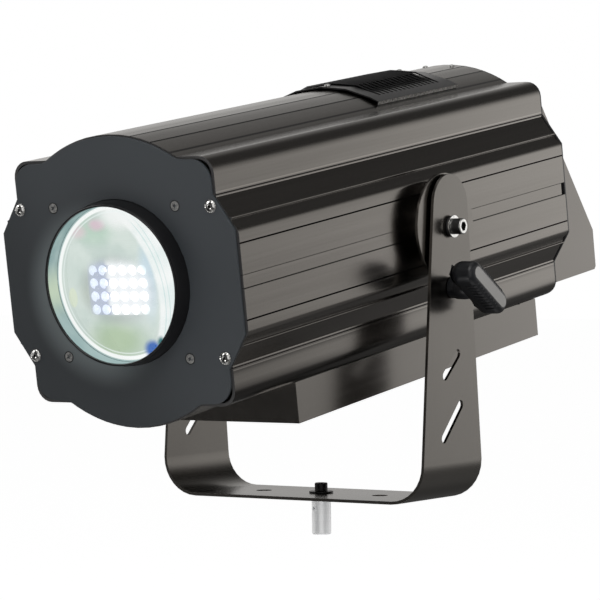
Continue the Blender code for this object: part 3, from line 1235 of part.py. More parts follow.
# Mains inlet, mains rocker and the two data sockets on the console's lip
def make_sockets(head, housing):
    face = CONSOLE_REAR_Y
    inner = face - SOCKET_DEPTH
    outer = face + GAP
    through = (face - PAST, face + PAST)

    def hole_for(half, x):
        return prism(rectangle(half[0] + GAP, half[1] + GAP, (x, SOCKET_Z)), *through, "Y")

    cut(housing, "socket_holes", together([
        hole_for(INLET_HALF, INLET_X),
        hole_for(SWITCH_HALF, SWITCH_X),
        rod(DATA_RADIUS + GAP, *through, "Y", 16, (DATA_IN_X, SOCKET_Z)),
        rod(DATA_RADIUS + GAP, *through, "Y", 16, (DATA_OUT_X, SOCKET_Z)),
    ]))

    at = Matrix.Translation((INLET_X, 0.0, SOCKET_Z))
    inlet = piece("mains_inlet", prism(
        rectangle(*INLET_HALF), inner, outer + LAP, "Y"), "black_metal", head, at)
    fuse(inlet, "inlet_flange", prism(
        rounded_rectangle(*INLET_FLANGE_HALF, 0.003), outer, outer + INLET_FLANGE, "Y"))
    wide, tall = INLET_MOUTH_HALF
    half = [(wide, tall), (wide, INLET_MOUTH_CORNER - tall), (wide - INLET_MOUTH_CORNER, -tall)]
    cut(inlet, "inlet_recess", prism(
        half + [(-a, b) for a, b in reversed(half)], inner + INLET_FLOOR, outer + PAST, "Y"))
    blade_x, blade_z = INLET_BLADE_HALF
    fuse(inlet, "inlet_blades", together([
        box((x - blade_x, x + blade_x), (inner + INLET_FLOOR - LAP, face - INLET_BLADE_BELOW_FACE),
            (z - blade_z, z + blade_z))
        for x, z in ((-INLET_BLADE_PITCH, 0.0015), (0.0, -0.0025), (INLET_BLADE_PITCH, 0.0015))]))

    at = Matrix.Translation((SWITCH_X, 0.0, SOCKET_Z))
    bezel = piece("switch_bezel", prism(
        rectangle(*SWITCH_HALF), inner, outer + LAP, "Y"), "black_metal", head, at)
    fuse(bezel, "bezel_flange", prism(
        rounded_rectangle(*SWITCH_FLANGE_HALF, 0.0015, 2), outer, outer + SWITCH_FLANGE, "Y"))
    cut(bezel, "bezel_hollow", prism(rectangle(*SWITCH_MOUTH_HALF), inner + SWITCH_FLOOR, outer + PAST, "Y"))
    axis_y = face - ROCKER_AXIS_DEPTH
    wing = [(ROCKER_WING[0], ROCKER_WING[1]), (-ROCKER_BACK[0], ROCKER_BACK[1])]
    wings = [(ROCKER_DIP, 0.0)] + wing + [(-ROCKER_KEEL, 0.0)] + [(a, -b) for a, b in reversed(wing)]
    rocker = piece("mains_rocker", prism(turned_about(wings, ROCKER_TIP), -ROCKER_HALF_X, ROCKER_HALF_X, "X"),
                   "rubber", head, Matrix.Translation((SWITCH_X, axis_y, SOCKET_Z)))
    reach = ROCKER_PIN_LENGTH / 2
    fuse(rocker, "rocker_pin", rod(ROCKER_PIN_RADIUS, -reach, reach, "X", 8))
    cut(bezel, "rocker_pin_seat", prism(
        circle(ROCKER_PIN_RADIUS + GAP, 8, (axis_y, 0.0)), -reach - GAP, reach + GAP, "X"))

    floor = face - DATA_MOUTH_DEPTH
    front = outer + DATA_FLANGE
    for name, x in (("data_in", DATA_IN_X), ("data_out", DATA_OUT_X)):
        socket = piece(name, turned([
            (0.0, inner), (DATA_RADIUS, inner), (DATA_RADIUS, outer), (DATA_FLANGE_RADIUS, outer),
            (DATA_FLANGE_RADIUS, front - DATA_FLANGE_EDGE), (DATA_FLANGE_RADIUS - DATA_FLANGE_EDGE, front),
            (DATA_MOUTH_RADIUS, front), (DATA_MOUTH_RADIUS, floor), (0.0, floor),
        ], "Y", 16), "black_metal", head, Matrix.Translation((x, 0.0, SOCKET_Z)))
        places = circle(DATA_PIN_CIRCLE, DATA_PINS)
        if name == "data_in":
            fuse(socket, "data_in_pins", together([
                rod(DATA_PIN_RADIUS, floor - LAP, face - DATA_PIN_BELOW_FACE, "Y", 6, centre)
                for centre in places]))
        else:
            core = face - DATA_CORE_BELOW_FACE
            fuse(socket, "data_out_core", rod(DATA_CORE_RADIUS, floor - LAP, core, "Y", 12))
            cut(socket, "data_out_holes", together([
                rod(DATA_PIN_RADIUS + GAP, core - DATA_HOLE_DEPTH, core + PAST, "Y", 6, centre)
                for centre in places]))


def build():
    clear_scene()
    head = bpy.data.objects.new("head_axis", None)
    bpy.context.scene.collection.objects.link(head)
    head.location = (0.0, 0.0, PIVOT_Z)
    head.rotation_euler = (TILT, 0.0, 0.0)

    make_yoke()
    make_spigot()
    for side, sign in (("right", 1), ("left", -1)):
        make_brake(side, sign)
        make_pivot(side, sign, head)
    make_housing(head)
    make_vent_cover(head)
    make_lens(head)
    make_light_engine(head)
    make_zoom_drive(head)
    make_driver_tray(head)
    make_console(head)


build()
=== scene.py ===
import json
import math

import bpy
from mathutils import Euler, Matrix, Vector


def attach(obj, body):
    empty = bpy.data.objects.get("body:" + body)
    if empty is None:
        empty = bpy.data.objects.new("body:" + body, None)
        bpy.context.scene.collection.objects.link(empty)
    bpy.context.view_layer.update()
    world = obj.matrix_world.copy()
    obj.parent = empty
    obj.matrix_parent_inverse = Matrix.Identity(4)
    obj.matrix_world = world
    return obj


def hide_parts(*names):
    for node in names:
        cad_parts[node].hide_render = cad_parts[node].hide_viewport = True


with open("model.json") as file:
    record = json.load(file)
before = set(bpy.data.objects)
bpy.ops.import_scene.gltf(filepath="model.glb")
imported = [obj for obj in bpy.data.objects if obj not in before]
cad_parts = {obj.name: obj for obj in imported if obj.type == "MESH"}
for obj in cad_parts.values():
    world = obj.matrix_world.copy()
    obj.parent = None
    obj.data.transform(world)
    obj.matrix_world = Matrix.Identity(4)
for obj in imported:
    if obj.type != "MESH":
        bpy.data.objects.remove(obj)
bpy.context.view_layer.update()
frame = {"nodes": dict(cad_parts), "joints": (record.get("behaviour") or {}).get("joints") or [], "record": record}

# Camera: about three metres in front of the lens and to its right, level with the housing, on a long lens
# that keeps the extrusions' lines nearly parallel.
camera_place = Vector((1.6273, -2.4565, 0.2536))
camera_azimuth = math.radians(33.89)
camera_elevation = math.radians(1.14)
camera_roll = math.radians(-0.65)
camera_data = bpy.data.cameras.new("camera")
camera_data.lens = 178.05
camera_data.sensor_width = 36.0
camera_data.clip_end = 60.0
camera = bpy.data.objects.new("camera", camera_data)
bpy.context.scene.collection.objects.link(camera)
aim = Euler((math.pi / 2 - camera_elevation, 0.0, camera_azimuth)).to_matrix().to_4x4()
camera.matrix_world = Matrix.Translation(camera_place) @ aim @ Matrix.Rotation(camera_roll, 4, "Z")
bpy.context.scene.camera = camera
bpy.context.scene.view_settings.view_transform = "Standard"


# Studio: a white floor, a white world and two soft lamps. Round the object hangs a dark cloth tent that only
# reflections show. A bright panel in it, at the right rear, gives the metal its long highlights.
class Value:
    """One output of a shader node. Arithmetic on it adds the nodes for it."""

    def __init__(self, nodes, socket):
        self.nodes = nodes
        self.socket = socket

    def maths(self, operation, *others):
        return self.nodes.add("ShaderNodeMath", {"operation": operation}, self, *others)

    def __add__(self, other):
        return self.maths("ADD", other)

    def __sub__(self, other):
        return self.maths("SUBTRACT", other)

    def __rsub__(self, other):
        return self.nodes.add("ShaderNodeMath", {"operation": "SUBTRACT"}, other, self)

    def __mul__(self, other):
        return self.maths("MULTIPLY", other)

    def __truediv__(self, other):
        return self.maths("DIVIDE", other)

    def __pow__(self, other):
        return self.maths("POWER", other)

    def __abs__(self):
        return self.maths("ABSOLUTE")

    __radd__ = __add__
    __rmul__ = __mul__

    def rising(self, low, high):
        """0 below low, 1 above high and a soft step from one to the other."""
        return self.nodes.add("ShaderNodeMapRange", {"interpolation_type": "SMOOTHSTEP"}, self, low, high)

    def falling(self, low, high):
        """1 below low, 0 above high and a soft step from one to the other."""
        return 1.0 - self.rising(low, high)

    def near(self, middle, reach):
        """1 at the middle, falling softly to 0 at the reach."""
        return abs(self - middle).falling(0.0, reach)

    def parts(self):
        """The three parts of a vector."""
        split = self.nodes.add("ShaderNodeSeparateXYZ", None, self)
        return [Value(self.nodes, output) for output in split.socket.node.outputs]


class Nodes:
    """The node tree of one finish or of the world."""

    def __init__(self, owner):
        owner.use_nodes = True
        self.tree = owner.node_tree

    def add(self, kind, settings=None, *inputs, out=0, **named):
        node = self.tree.nodes.new(kind)
        for setting, value in (settings or {}).items():
            setattr(node, setting, value)
        for number, value in enumerate(inputs):
            self.give(node.inputs[number], value)
        for name, value in named.items():
            self.give(node.inputs[name.replace("_", " ")], value)
        return Value(self, node.outputs[out])

    def give(self, socket, value):
        if isinstance(value, Value):
            self.tree.links.new(value.socket, socket)
        else:
            socket.default_value = value

    def blend(self, share, first, second):
        """A colour between two colours."""
        mixed = self.tree.nodes.new("ShaderNodeMix")
        mixed.data_type = "RGBA"
        for number, value in ((0, share), (6, first), (7, second)):
            if isinstance(value, tuple):
                value = (*value, 1.0)
            self.give(mixed.inputs[number], value)
        return Value(self, mixed.outputs[2])

    def place(self):
        """The object's own coordinates."""
        return self.add("ShaderNodeTexCoord", out="Object")


def new_finish(name, roughness, metallic=0.0, **sockets):
    """A finish with its even values on the shader, and the nodes that vary the rest."""
    look = bpy.data.materials.new(name)
    nodes = Nodes(look)
    shader = nodes.tree.nodes["Principled BSDF"]
    shader.inputs["Roughness"].default_value = roughness
    shader.inputs["Metallic"].default_value = metallic
    for socket, value in sockets.items():
        shader.inputs[socket.replace("_", " ")].default_value = value
    return look, nodes, shader.inputs


world = bpy.data.worlds.new("white_studio")
bpy.context.scene.world = world
sky = Nodes(world)
background = sky.tree.nodes["Background"].inputs
ray_kinds = ("Is Camera Ray", "Is Glossy Ray", "Is Transmission Ray")
rays = [sky.add("ShaderNodeLightPath", out=kind) for kind in ray_kinds]
seen = (rays[0] + rays[1] + rays[2]).rising(0.0, 1.0)
ambient = 0.30
sky.give(background["Color"], (1.0, 1.0, 1.0, 1.0))
sky.give(background["Strength"], seen * (1.0 - ambient) + ambient)

bpy.ops.object.select_all(action="DESELECT")
bpy.ops.mesh.primitive_plane_add(size=60.0, location=(0.0, 0.0, -0.75))
floor = bpy.context.object
floor.name = "studio_floor"
floor_paint, nodes, shader = new_finish("white_floor", 1.0, Specular_IOR_Level=0.0, Emission_Strength=0.72)
nodes.give(shader["Base Color"], (0.9, 0.9, 0.9, 1.0))
nodes.give(shader["Emission Color"], (1.0, 1.0, 1.0, 1.0))
floor.data.materials.append(floor_paint)
floor.visible_glossy = False

object_middle = Vector((0.0, 0.0, 0.25))
bpy.ops.object.select_all(action="DESELECT")
bpy.ops.mesh.primitive_uv_sphere_add(segments=48, ring_count=32, radius=9.0, location=object_middle)
tent = bpy.context.object
tent.name = "studio_tent"
tent_cloth, cloth, shader = new_finish("tent_cloth", 1.0, Specular_IOR_Level=0.0, Emission_Strength=1.0)
outwards = cloth.add("ShaderNodeVectorMath", {"operation": "NORMALIZE"}, cloth.place())
east, north, height = outwards.parts()
right_rear = east.rising(-0.05, 0.30) * north.rising(-0.5, 0.3)
level_band = height.rising(-0.26, -0.02) * height.falling(0.10, 0.46)
panel = right_rear * level_band * (1.50 - 0.95 * east.rising(0.44, 0.62))
ground = right_rear * height.falling(-0.26, -0.02) * 0.10
left_rear = east.falling(-0.30, 0.02) * north.rising(-0.2, 0.4) * height.rising(-0.12, 0.12)
left_rear = left_rear * (0.60 - 0.42 * height.rising(0.34, 0.58))
flanks = abs(east).rising(0.62, 0.74) * height.rising(0.28, 0.42) * 0.60
west = east.falling(-0.74, -0.62) * height.rising(-0.35, -0.10) * height.falling(0.28, 0.42) * 0.70
ceiling = height.rising(0.80, 0.93) * 0.40
bottom = height.falling(-0.93, -0.80) * 0.30


def window(to_east, to_north, to_top, size):
    """A round opening in the cloth, its size in degrees, with a soft edge of five degrees."""
    middle = Vector((to_east, to_north, to_top)).normalized()
    toward = east * middle.x + north * middle.y + height * middle.z
    return toward.rising(math.cos(math.radians(size + 5.0)), math.cos(math.radians(size)))


beside_camera = window(0.55, -0.83, 0.0, 24.0) * 0.75
high_left = window(-0.80, -0.35, 0.55, 13.0)
high_front = window(0.15, -0.70, 0.75, 15.0)
low_front = window(-0.35, -0.75, -0.75, 7.0)
openings = (high_left + high_front + low_front) * 3.0
plain_cloth = 0.09
light = panel + ground + left_rear + flanks + west + ceiling + bottom + beside_camera + openings + plain_cloth
warm_white = (1.0, 0.985, 0.965)
cloth.give(shader["Base Color"], (0.0, 0.0, 0.0, 1.0))
cloth.give(shader["Emission Color"],
           cloth.add("ShaderNodeVectorMath", {"operation": "SCALE"}, warm_white, Scale=light))
tent.data.materials.append(tent_cloth)
tent.visible_camera = False
tent.visible_diffuse = False
tent.visible_shadow = False
tent.visible_transmission = False


def soft_lamp(name, place, width, height, power):
    data = bpy.data.lights.new(name, "AREA")
    data.shape = "RECTANGLE"
    data.size = width
    data.size_y = height
    data.energy = power
    lamp = bpy.data.objects.new(name, data)
    bpy.context.scene.collection.objects.link(lamp)
    facing = (object_middle - Vector(place)).to_track_quat("-Z", "Y").to_matrix().to_4x4()
    lamp.matrix_world = Matrix.Translation(place) @ facing
    lamp.visible_camera = False
    lamp.visible_glossy = False


soft_lamp("key_lamp", (0.9, -1.3, 1.5), 0.9, 0.9, 20.0)
soft_lamp("side_lamp", (2.6, 1.4, 0.9), 1.6, 1.2, 22.0)

# Yoke: one strip of 3 mm steel, cut to a taper, punched, bent into a U and painted a satin grey-brown. The
# laser-cut edges are only just broken, and the paint has a very fine orange peel.
body_of = {node: body for body, nodes in frame["record"]["behaviour"]["bodies"].items() for node in nodes}


def only(piece):
    """Selects one object and makes it the active one."""
    bpy.ops.object.select_all(action="DESELECT")
    piece.select_set(True)
    bpy.context.view_layer.objects.active = piece


def finished(piece, look, body, smooth=35.0):
    """Shades a piece, gives it its finish and puts it on its body."""
    only(piece)
    bpy.ops.object.shade_smooth_by_angle(angle=math.radians(smooth))
    weighted = piece.modifiers.new("flat_faces", "WEIGHTED_NORMAL")
    weighted.keep_sharp = True
    bpy.ops.object.modifier_apply(modifier="flat_faces")
    piece.data.materials.clear()
    piece.data.materials.append(look)
    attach(piece, body)
    return piece


def broken_edges(piece, width, segments=2, angle=28.0):
    """Rounds a piece's sharp edges by a small width."""
    only(piece)
    bevel = piece.modifiers.new("edge", "BEVEL")
    bevel.width = width
    bevel.segments = segments
    bevel.limit_method = "ANGLE"
    bevel.angle_limit = math.radians(angle)
    bpy.ops.object.modifier_apply(modifier="edge")


def dressed(node, look, width=0.0003, smooth=35.0):
    """A solid's own shape with whole flat faces and broken edges, in its finish and in its place."""
    piece = bpy.data.objects.new(node + "_finished", frame["nodes"][node].data.copy())
    bpy.context.scene.collection.objects.link(piece)
    only(piece)
    bpy.ops.object.mode_set(mode="EDIT")
    bpy.ops.mesh.select_all(action="SELECT")
    bpy.ops.mesh.remove_doubles(threshold=0.00001)
    bpy.ops.mesh.dissolve_limited(angle_limit=math.radians(1.0))
    bpy.ops.object.mode_set(mode="OBJECT")
    if width:
        broken_edges(piece, width)
    finished(piece, look, body_of[node], smooth)
    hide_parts(node)
    return piece


def speckle(nodes, scale, detail=2.0, place=None):
    """Noise, on the object's coordinates unless others are given."""
    return nodes.add("ShaderNodeTexNoise", None, Vector=place or nodes.place(), Scale=scale, Detail=detail)


def bumped(nodes, height, strength, distance):
    return nodes.add("ShaderNodeBump", None, Strength=strength, Distance=distance, Height=height)


def painted(name, dark, pale, roughness, metallic, grain):
    """Paint or plastic: slow drifts of tone, and a fine peel in its surface and its roughness."""
    look, nodes, shader = new_finish(name, roughness, metallic)
    drift = speckle(nodes, 9.0)
    peel = speckle(nodes, grain)
    nodes.give(shader["Base Color"], nodes.blend(drift.rising(0.3, 0.7), dark, pale))
    nodes.give(shader["Roughness"], drift * 0.06 + peel * 0.05 + (roughness - 0.055))
    nodes.give(shader["Normal"], bumped(nodes, peel, 0.12, 0.0002))
    return look


yoke_paint = painted("yoke_paint", (0.150, 0.141, 0.130), (0.163, 0.154, 0.142), 0.24, 1.0, 1500.0)
dressed("yoke", yoke_paint, 0.0004)


# Spigot: a 19 mm turned steel pin with a chamfered end and a cross hole for the stand's locking pin, held
# from above by a black cap screw on a wide washer.
def bare_metal(name, dark, pale, roughness, metallic, grain, mottle=0.2, edges=(0.3, 0.7), detail=2.0,
               stretch=(1.0, 1.0, 1.0)):
    """Bare or plated metal: a fine mottle in its colour, and added to its least roughness."""
    look, nodes, shader = new_finish(name, roughness, metallic)
    place = nodes.add("ShaderNodeVectorMath", {"operation": "MULTIPLY"}, nodes.place(), stretch)
    spots = speckle(nodes, grain, detail, place)
    nodes.give(shader["Base Color"], nodes.blend(spots.rising(*edges), dark, pale))
    nodes.give(shader["Roughness"], spots * mottle + roughness)
    return look, nodes, shader, spots


turned_steel = bare_metal("turned_steel", (0.90, 0.91, 0.92), (0.98, 0.99, 1.0), 0.34, 0.55, 300.0,
                          mottle=0.15, stretch=(0.05, 0.05, 6.0))[0]
black_oxide = bare_metal("black_oxide", (0.010, 0.010, 0.011), (0.030, 0.029, 0.028), 0.3, 0.7, 260.0,
                         edges=(0.35, 0.7))[0]
dressed("spigot", turned_steel)
dressed("spigot_washer", black_oxide, 0.0002)
dressed("spigot_screw", black_oxide, 0.0002)

# Tilt joint: zinc bolts with knurled heads, washers and flanged black bushings go through the arms. The
# friction discs turn with the housing, and black brake plates press on them from the arms.
joint_at = {joint["name"]: joint for joint in frame["joints"]}
pivot = Vector(joint_at["head_tilt"]["pos_m"])
beam = joint_at["engine_zoom"]["axis"]
tilt = math.atan2(beam[2], beam[1])
zinc_plate = bare_metal("zinc_plate", (0.62, 0.62, 0.61), (0.82, 0.82, 0.81), 0.10, 1.0, 240.0,
                        mottle=0.14)[0]
bush_plastic = painted("bush_plastic", (0.008, 0.008, 0.009), (0.012, 0.012, 0.013), 0.45, 0.0, 900.0)
brake_paint = painted("brake_paint", (0.006, 0.006, 0.007), (0.009, 0.009, 0.010), 0.38, 0.0, 1200.0)


def along_beam(nodes, stretch=(1.0, 1.0, 1.0)):
    """Coordinates from the tilt axis, level with the housing."""
    turned_pivot = Matrix.Rotation(-tilt, 3, "X") @ pivot
    level = nodes.add("ShaderNodeMapping", {"vector_type": "POINT"}, nodes.place(), tuple(-turned_pivot),
                      (-tilt, 0.0, 0.0))
    return nodes.add("ShaderNodeVectorMath", {"operation": "MULTIPLY"}, level, stretch)


def drawn_metal(name, dark, pale, roughness, marked=None):
    """Anodised extrusion: fine die lines along the beam, with slow drifts of tone between them."""
    look, nodes, shader = new_finish(name, roughness, 1.0)
    lines = speckle(nodes, 420.0, 3.0, along_beam(nodes, (1.0, 0.012, 1.0)))
    drift = speckle(nodes, 14.0, 2.0, along_beam(nodes, (1.0, 0.15, 1.0)))
    streaks = speckle(nodes, 95.0, 2.0, along_beam(nodes, (1.0, 0.004, 1.0)))
    tone = lines * 0.30 + drift * 0.30 + streaks * 0.40
    colour = nodes.blend(tone.rising(0.3, 0.7), dark, pale)
    if marked:
        colour = marked(nodes, colour)
    nodes.give(shader["Base Color"], colour)
    nodes.give(shader["Roughness"], lines * 0.06 + streaks * 0.09 + (roughness - 0.075))
    nodes.give(shader["Normal"], bumped(nodes, lines, 0.04, 0.0001))
    return look


def recoloured(node, look):
    """Gives a hidden solid its finish and leaves its shape as it is."""
    materials = frame["nodes"][node].data.materials
    materials.clear()
    materials.append(look)


anodised_dark = (0.166, 0.156, 0.144)
anodised_pale = (0.196, 0.185, 0.172)
anodised = drawn_metal("anodised_grey_brown", anodised_dark, anodised_pale, 0.21)
# The knurled side of each bolt head is painted dark as shade, darkest in the grooves between the teeth.
knurled_zinc_shaded, nodes, shader = new_finish("knurled_zinc_shaded", 0.3, 1.0)
from_pivot = nodes.add("ShaderNodeVectorMath", {"operation": "SUBTRACT"}, nodes.place(), tuple(pivot))
_, forward, upward = from_pivot.parts()
teeth = 56
tooth = abs((forward.maths("ARCTAN2", upward) * (teeth / 2)).maths("SINE"))
nodes.give(shader["Base Color"], nodes.blend(tooth, (0.015, 0.015, 0.015), (0.11, 0.11, 0.11)))
nodes.give(shader["Roughness"], tooth * 0.2 + 0.2)
nodes.give(shader["Normal"], bumped(nodes, tooth, 0.6, 0.0004))
knurl_inside = 0.0070
socket_reach = 0.0048
for side in ("right", "left"):
    dressed("pivot_bushing_" + side, bush_plastic, 0.0002)
    dressed("pivot_washer_" + side, zinc_plate, 0.0002)
    bolt = dressed("pivot_bolt_" + side, zinc_plate)
    bolt.data.materials.append(knurled_zinc_shaded)
    bolt.data.materials.append(black_oxide)
    bolt_end = max(abs(corner.co.x) for corner in bolt.data.vertices)
    # The knurl's faces get the painted shade of the knurl, and the faces inside the socket get black oxide as
    # painted shade.
    for face in bolt.data.polygons:
        from_axis = math.hypot(face.center.y, face.center.z - pivot.z)
        if from_axis > knurl_inside and abs(face.normal.x) < 0.3:
            face.material_index = 1
        elif from_axis < socket_reach and abs(face.center.x) < bolt_end - 0.0005:
            face.material_index = 2
    dressed("brake_plate_" + side, brake_paint, 0.0002)
    dressed("friction_disc_" + side, anodised)
    recoloured("pivot_nut_" + side, zinc_plate)

# Brake knobs: moulded black T-knobs on a round neck. The bar's inner corners are rounded like a bar of soap,
# ridges run across both flanks for grip, and a light grey insert is pressed into its end.
knob_plastic = painted("knob_plastic", (0.0028, 0.0032, 0.0042), (0.005, 0.0055, 0.007), 0.36, 0.0, 1100.0)
insert_plastic = painted("insert_plastic", (0.175, 0.171, 0.163), (0.215, 0.210, 0.202), 0.5, 0.0, 800.0)
bar_half_length = 0.0380
bar_half_width = 0.0117
bar_depth = 0.0275
bar_back = -bar_depth / 2
bar_turn = math.radians(-31.5)
back_round = 0.0112
front_round = 0.0060
knob_end_x = 0.1970
arm_face_x = 0.1534
knob_z = pivot.z - 0.059


def put(piece, place):
    """Moves a piece's mesh to its place and leaves the origin at the world's."""
    bpy.context.view_layer.update()
    piece.data.transform(place @ piece.matrix_world)
    piece.matrix_world = Matrix.Identity(4)
    return piece


def copy_of(piece, name, place):
    """A copy with its own mesh, moved to its place."""
    other = piece.copy()
    other.data = piece.data.copy()
    other.name = name
    bpy.context.scene.collection.objects.link(other)
    return put(other, place)


def pick(piece, test):
    """Enters edit mode with the faces selected that pass a test."""
    only(piece)
    bpy.ops.object.mode_set(mode="EDIT")
    bpy.ops.mesh.select_mode(type="FACE")
    bpy.ops.mesh.select_all(action="DESELECT")
    bpy.ops.object.mode_set(mode="OBJECT")
    for face in piece.data.polygons:
        face.select = test(face)
    bpy.ops.object.mode_set(mode="EDIT")


def joined(pieces, name):
    """Joins pieces into the first one."""
    only(pieces[0])
    for piece in pieces[1:]:
        piece.select_set(True)
    bpy.ops.object.join()
    pieces[0].name = name
    return pieces[0]


def lathed(name, profile, steps):
    """A piece turned about Z from a profile of radii and heights."""
    mesh = bpy.data.meshes.new(name)
    mesh.from_pydata([(radius, 0.0, height) for radius, height in profile],
                     [(number, number + 1) for number in range(len(profile) - 1)], [])
    piece = bpy.data.objects.new(name, mesh)
    bpy.context.scene.collection.objects.link(piece)
    only(piece)
    bpy.ops.object.mode_set(mode="EDIT")
    bpy.ops.mesh.select_all(action="SELECT")
    bpy.ops.mesh.spin(steps=steps, angle=2 * math.pi, center=(0.0, 0.0, 0.0), axis=(0.0, 0.0, 1.0))
    bpy.ops.mesh.select_all(action="SELECT")
    bpy.ops.mesh.remove_doubles(threshold=0.000001)
    bpy.ops.mesh.normals_make_consistent(inside=False)
    bpy.ops.object.mode_set(mode="OBJECT")
    return piece


def long_disc(name, radius, half_length, depth):
    """A disc drawn out along Y, with round ends."""
    bpy.ops.object.select_all(action="DESELECT")
    bpy.ops.mesh.primitive_cylinder_add(vertices=48, radius=radius, depth=depth)
    piece = bpy.context.object
    piece.name = name
    for corner in piece.data.vertices:
        if abs(corner.co.y) > 0.0000001:
            corner.co.y += math.copysign(half_length - radius, corner.co.y)
    return piece


bar = long_disc("knob_bar", bar_half_width, bar_half_length, bar_depth)
swelling = 0.0004
for corner in bar.data.vertices:
    fuller = 0.5 - corner.co.z / bar_depth
    corner.co.x *= 1.0 + swelling * fuller / bar_half_width
    corner.co.y += math.copysign(swelling * fuller, corner.co.y)

# The inner corners get a wide round and the face a smaller one, with a shallow seat for the insert.
pick(bar, lambda face: face.normal.z < -0.9)
bpy.ops.mesh.bevel(offset=back_round, segments=12, affect="EDGES")
bpy.ops.object.mode_set(mode="OBJECT")
pick(bar, lambda face: face.normal.z > 0.9)
bpy.ops.mesh.bevel(offset=front_round, segments=8, affect="EDGES")
bpy.ops.object.mode_set(mode="OBJECT")
pick(bar, lambda face: face.normal.z > 0.999 and face.area > 0.0002)
bpy.ops.mesh.inset(thickness=0.0004)
bpy.ops.mesh.extrude_region_move(TRANSFORM_OT_translate={"value": (0.0, 0.0, -0.0010)})
bpy.ops.object.mode_set(mode="OBJECT")

knob_parts = [bar]
ridges = 9
ridge_pitch = 0.0053
ridge_thickness = 0.0025
ridge_outline = [(0.0075, 0.0120), (0.0078, 0.0138), (0.0094, 0.0131), (0.0108, 0.0120), (0.0119, 0.0106),
                 (0.0125, 0.0088), (0.0126, 0.0020), (0.0117, 0.0000), (0.0080, 0.0000)]
for flank in (-1.0, 1.0):
    for number in range(ridges):
        ridge_mesh = bpy.data.meshes.new("ridge")
        ridge_mesh.from_pydata([(flank * x, 0.0, z) for x, z in ridge_outline], [],
                               [tuple(range(len(ridge_outline)))])
        ridge = bpy.data.objects.new("ridge", ridge_mesh)
        bpy.context.scene.collection.objects.link(ridge)
        pick(ridge, lambda face: True)
        bpy.ops.mesh.extrude_region_move(TRANSFORM_OT_translate={"value": (0.0, ridge_thickness, 0.0)})
        bpy.ops.mesh.select_all(action="SELECT")
        bpy.ops.mesh.normals_make_consistent(inside=False)
        bpy.ops.object.mode_set(mode="OBJECT")
        broken_edges(ridge, 0.0007, 3, 50.0)
        from_middle = (number - (ridges - 1) / 2) * ridge_pitch
        put(ridge, Matrix.Translation((0.0, from_middle - ridge_thickness / 2, 0.0)))
        knob_parts.append(ridge)
neck_foot = bar_back - (knob_end_x - arm_face_x - bar_depth) + 0.0004
knob_parts.append(lathed("knob_neck", [(0.0, neck_foot), (0.0098, neck_foot), (0.0104, neck_foot + 0.0008),
                                       (0.0104, bar_back - 0.0095), (0.0112, bar_back - 0.0088),
                                       (0.0114, bar_back - 0.0010), (0.0110, bar_back + 0.0040),
                                       (0.0098, bar_back + 0.0075), (0.0, bar_back + 0.0095)], 48))
grip = joined(knob_parts, "brake_knob_right_moulding")
insert = long_disc("knob_insert_right_plate", bar_half_width - front_round, bar_half_length - 0.0050, 0.0014)
pick(insert, lambda face: face.normal.z > 0.9)
bpy.ops.mesh.bevel(offset=0.0004, segments=2, affect="EDGES")
bpy.ops.object.mode_set(mode="OBJECT")
insert.location = (-0.0006, 0.0, bar_depth / 2 - 0.0006)
put(insert, Matrix.Identity(4))
on_arm = (Matrix.Translation((knob_end_x - bar_depth / 2, 0.0, knob_z)) @ Matrix.Rotation(bar_turn, 4, "X")
          @ Matrix.Rotation(math.radians(90.0), 4, "Y"))
for kind, ending, right, look in (("brake_knob", "moulding", grip, knob_plastic),
                                  ("knob_insert", "plate", insert, insert_plastic)):
    put(right, on_arm)
    left = copy_of(right, "%s_left_%s" % (kind, ending), Matrix.Scale(-1.0, 4, (1.0, 0.0, 0.0)))
    left.data.flip_normals()
    for node, piece in ((kind + "_right", right), (kind + "_left", left)):
        finished(piece, look, body_of[node], 40.0)
        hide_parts(node)

# Housing: four aluminium extrusions that lock together at the seams, with a strip in each side's T-slot. A
# thin bead runs along each slanted face, and their sawn ends are dark.
head_place = Matrix.Translation(pivot) @ Matrix.Rotation(tilt, 4, "X")
to_level = head_place.inverted().to_3x3()
bead_radius = 0.0011
bead_x = 0.1257
bead_z = 0.0570


def lengthwise(node):
    """Where a solid's corners lie along the beam, from the tilt axis."""
    return [(head_place.inverted() @ corner.co).y for corner in frame["nodes"][node].data.vertices]


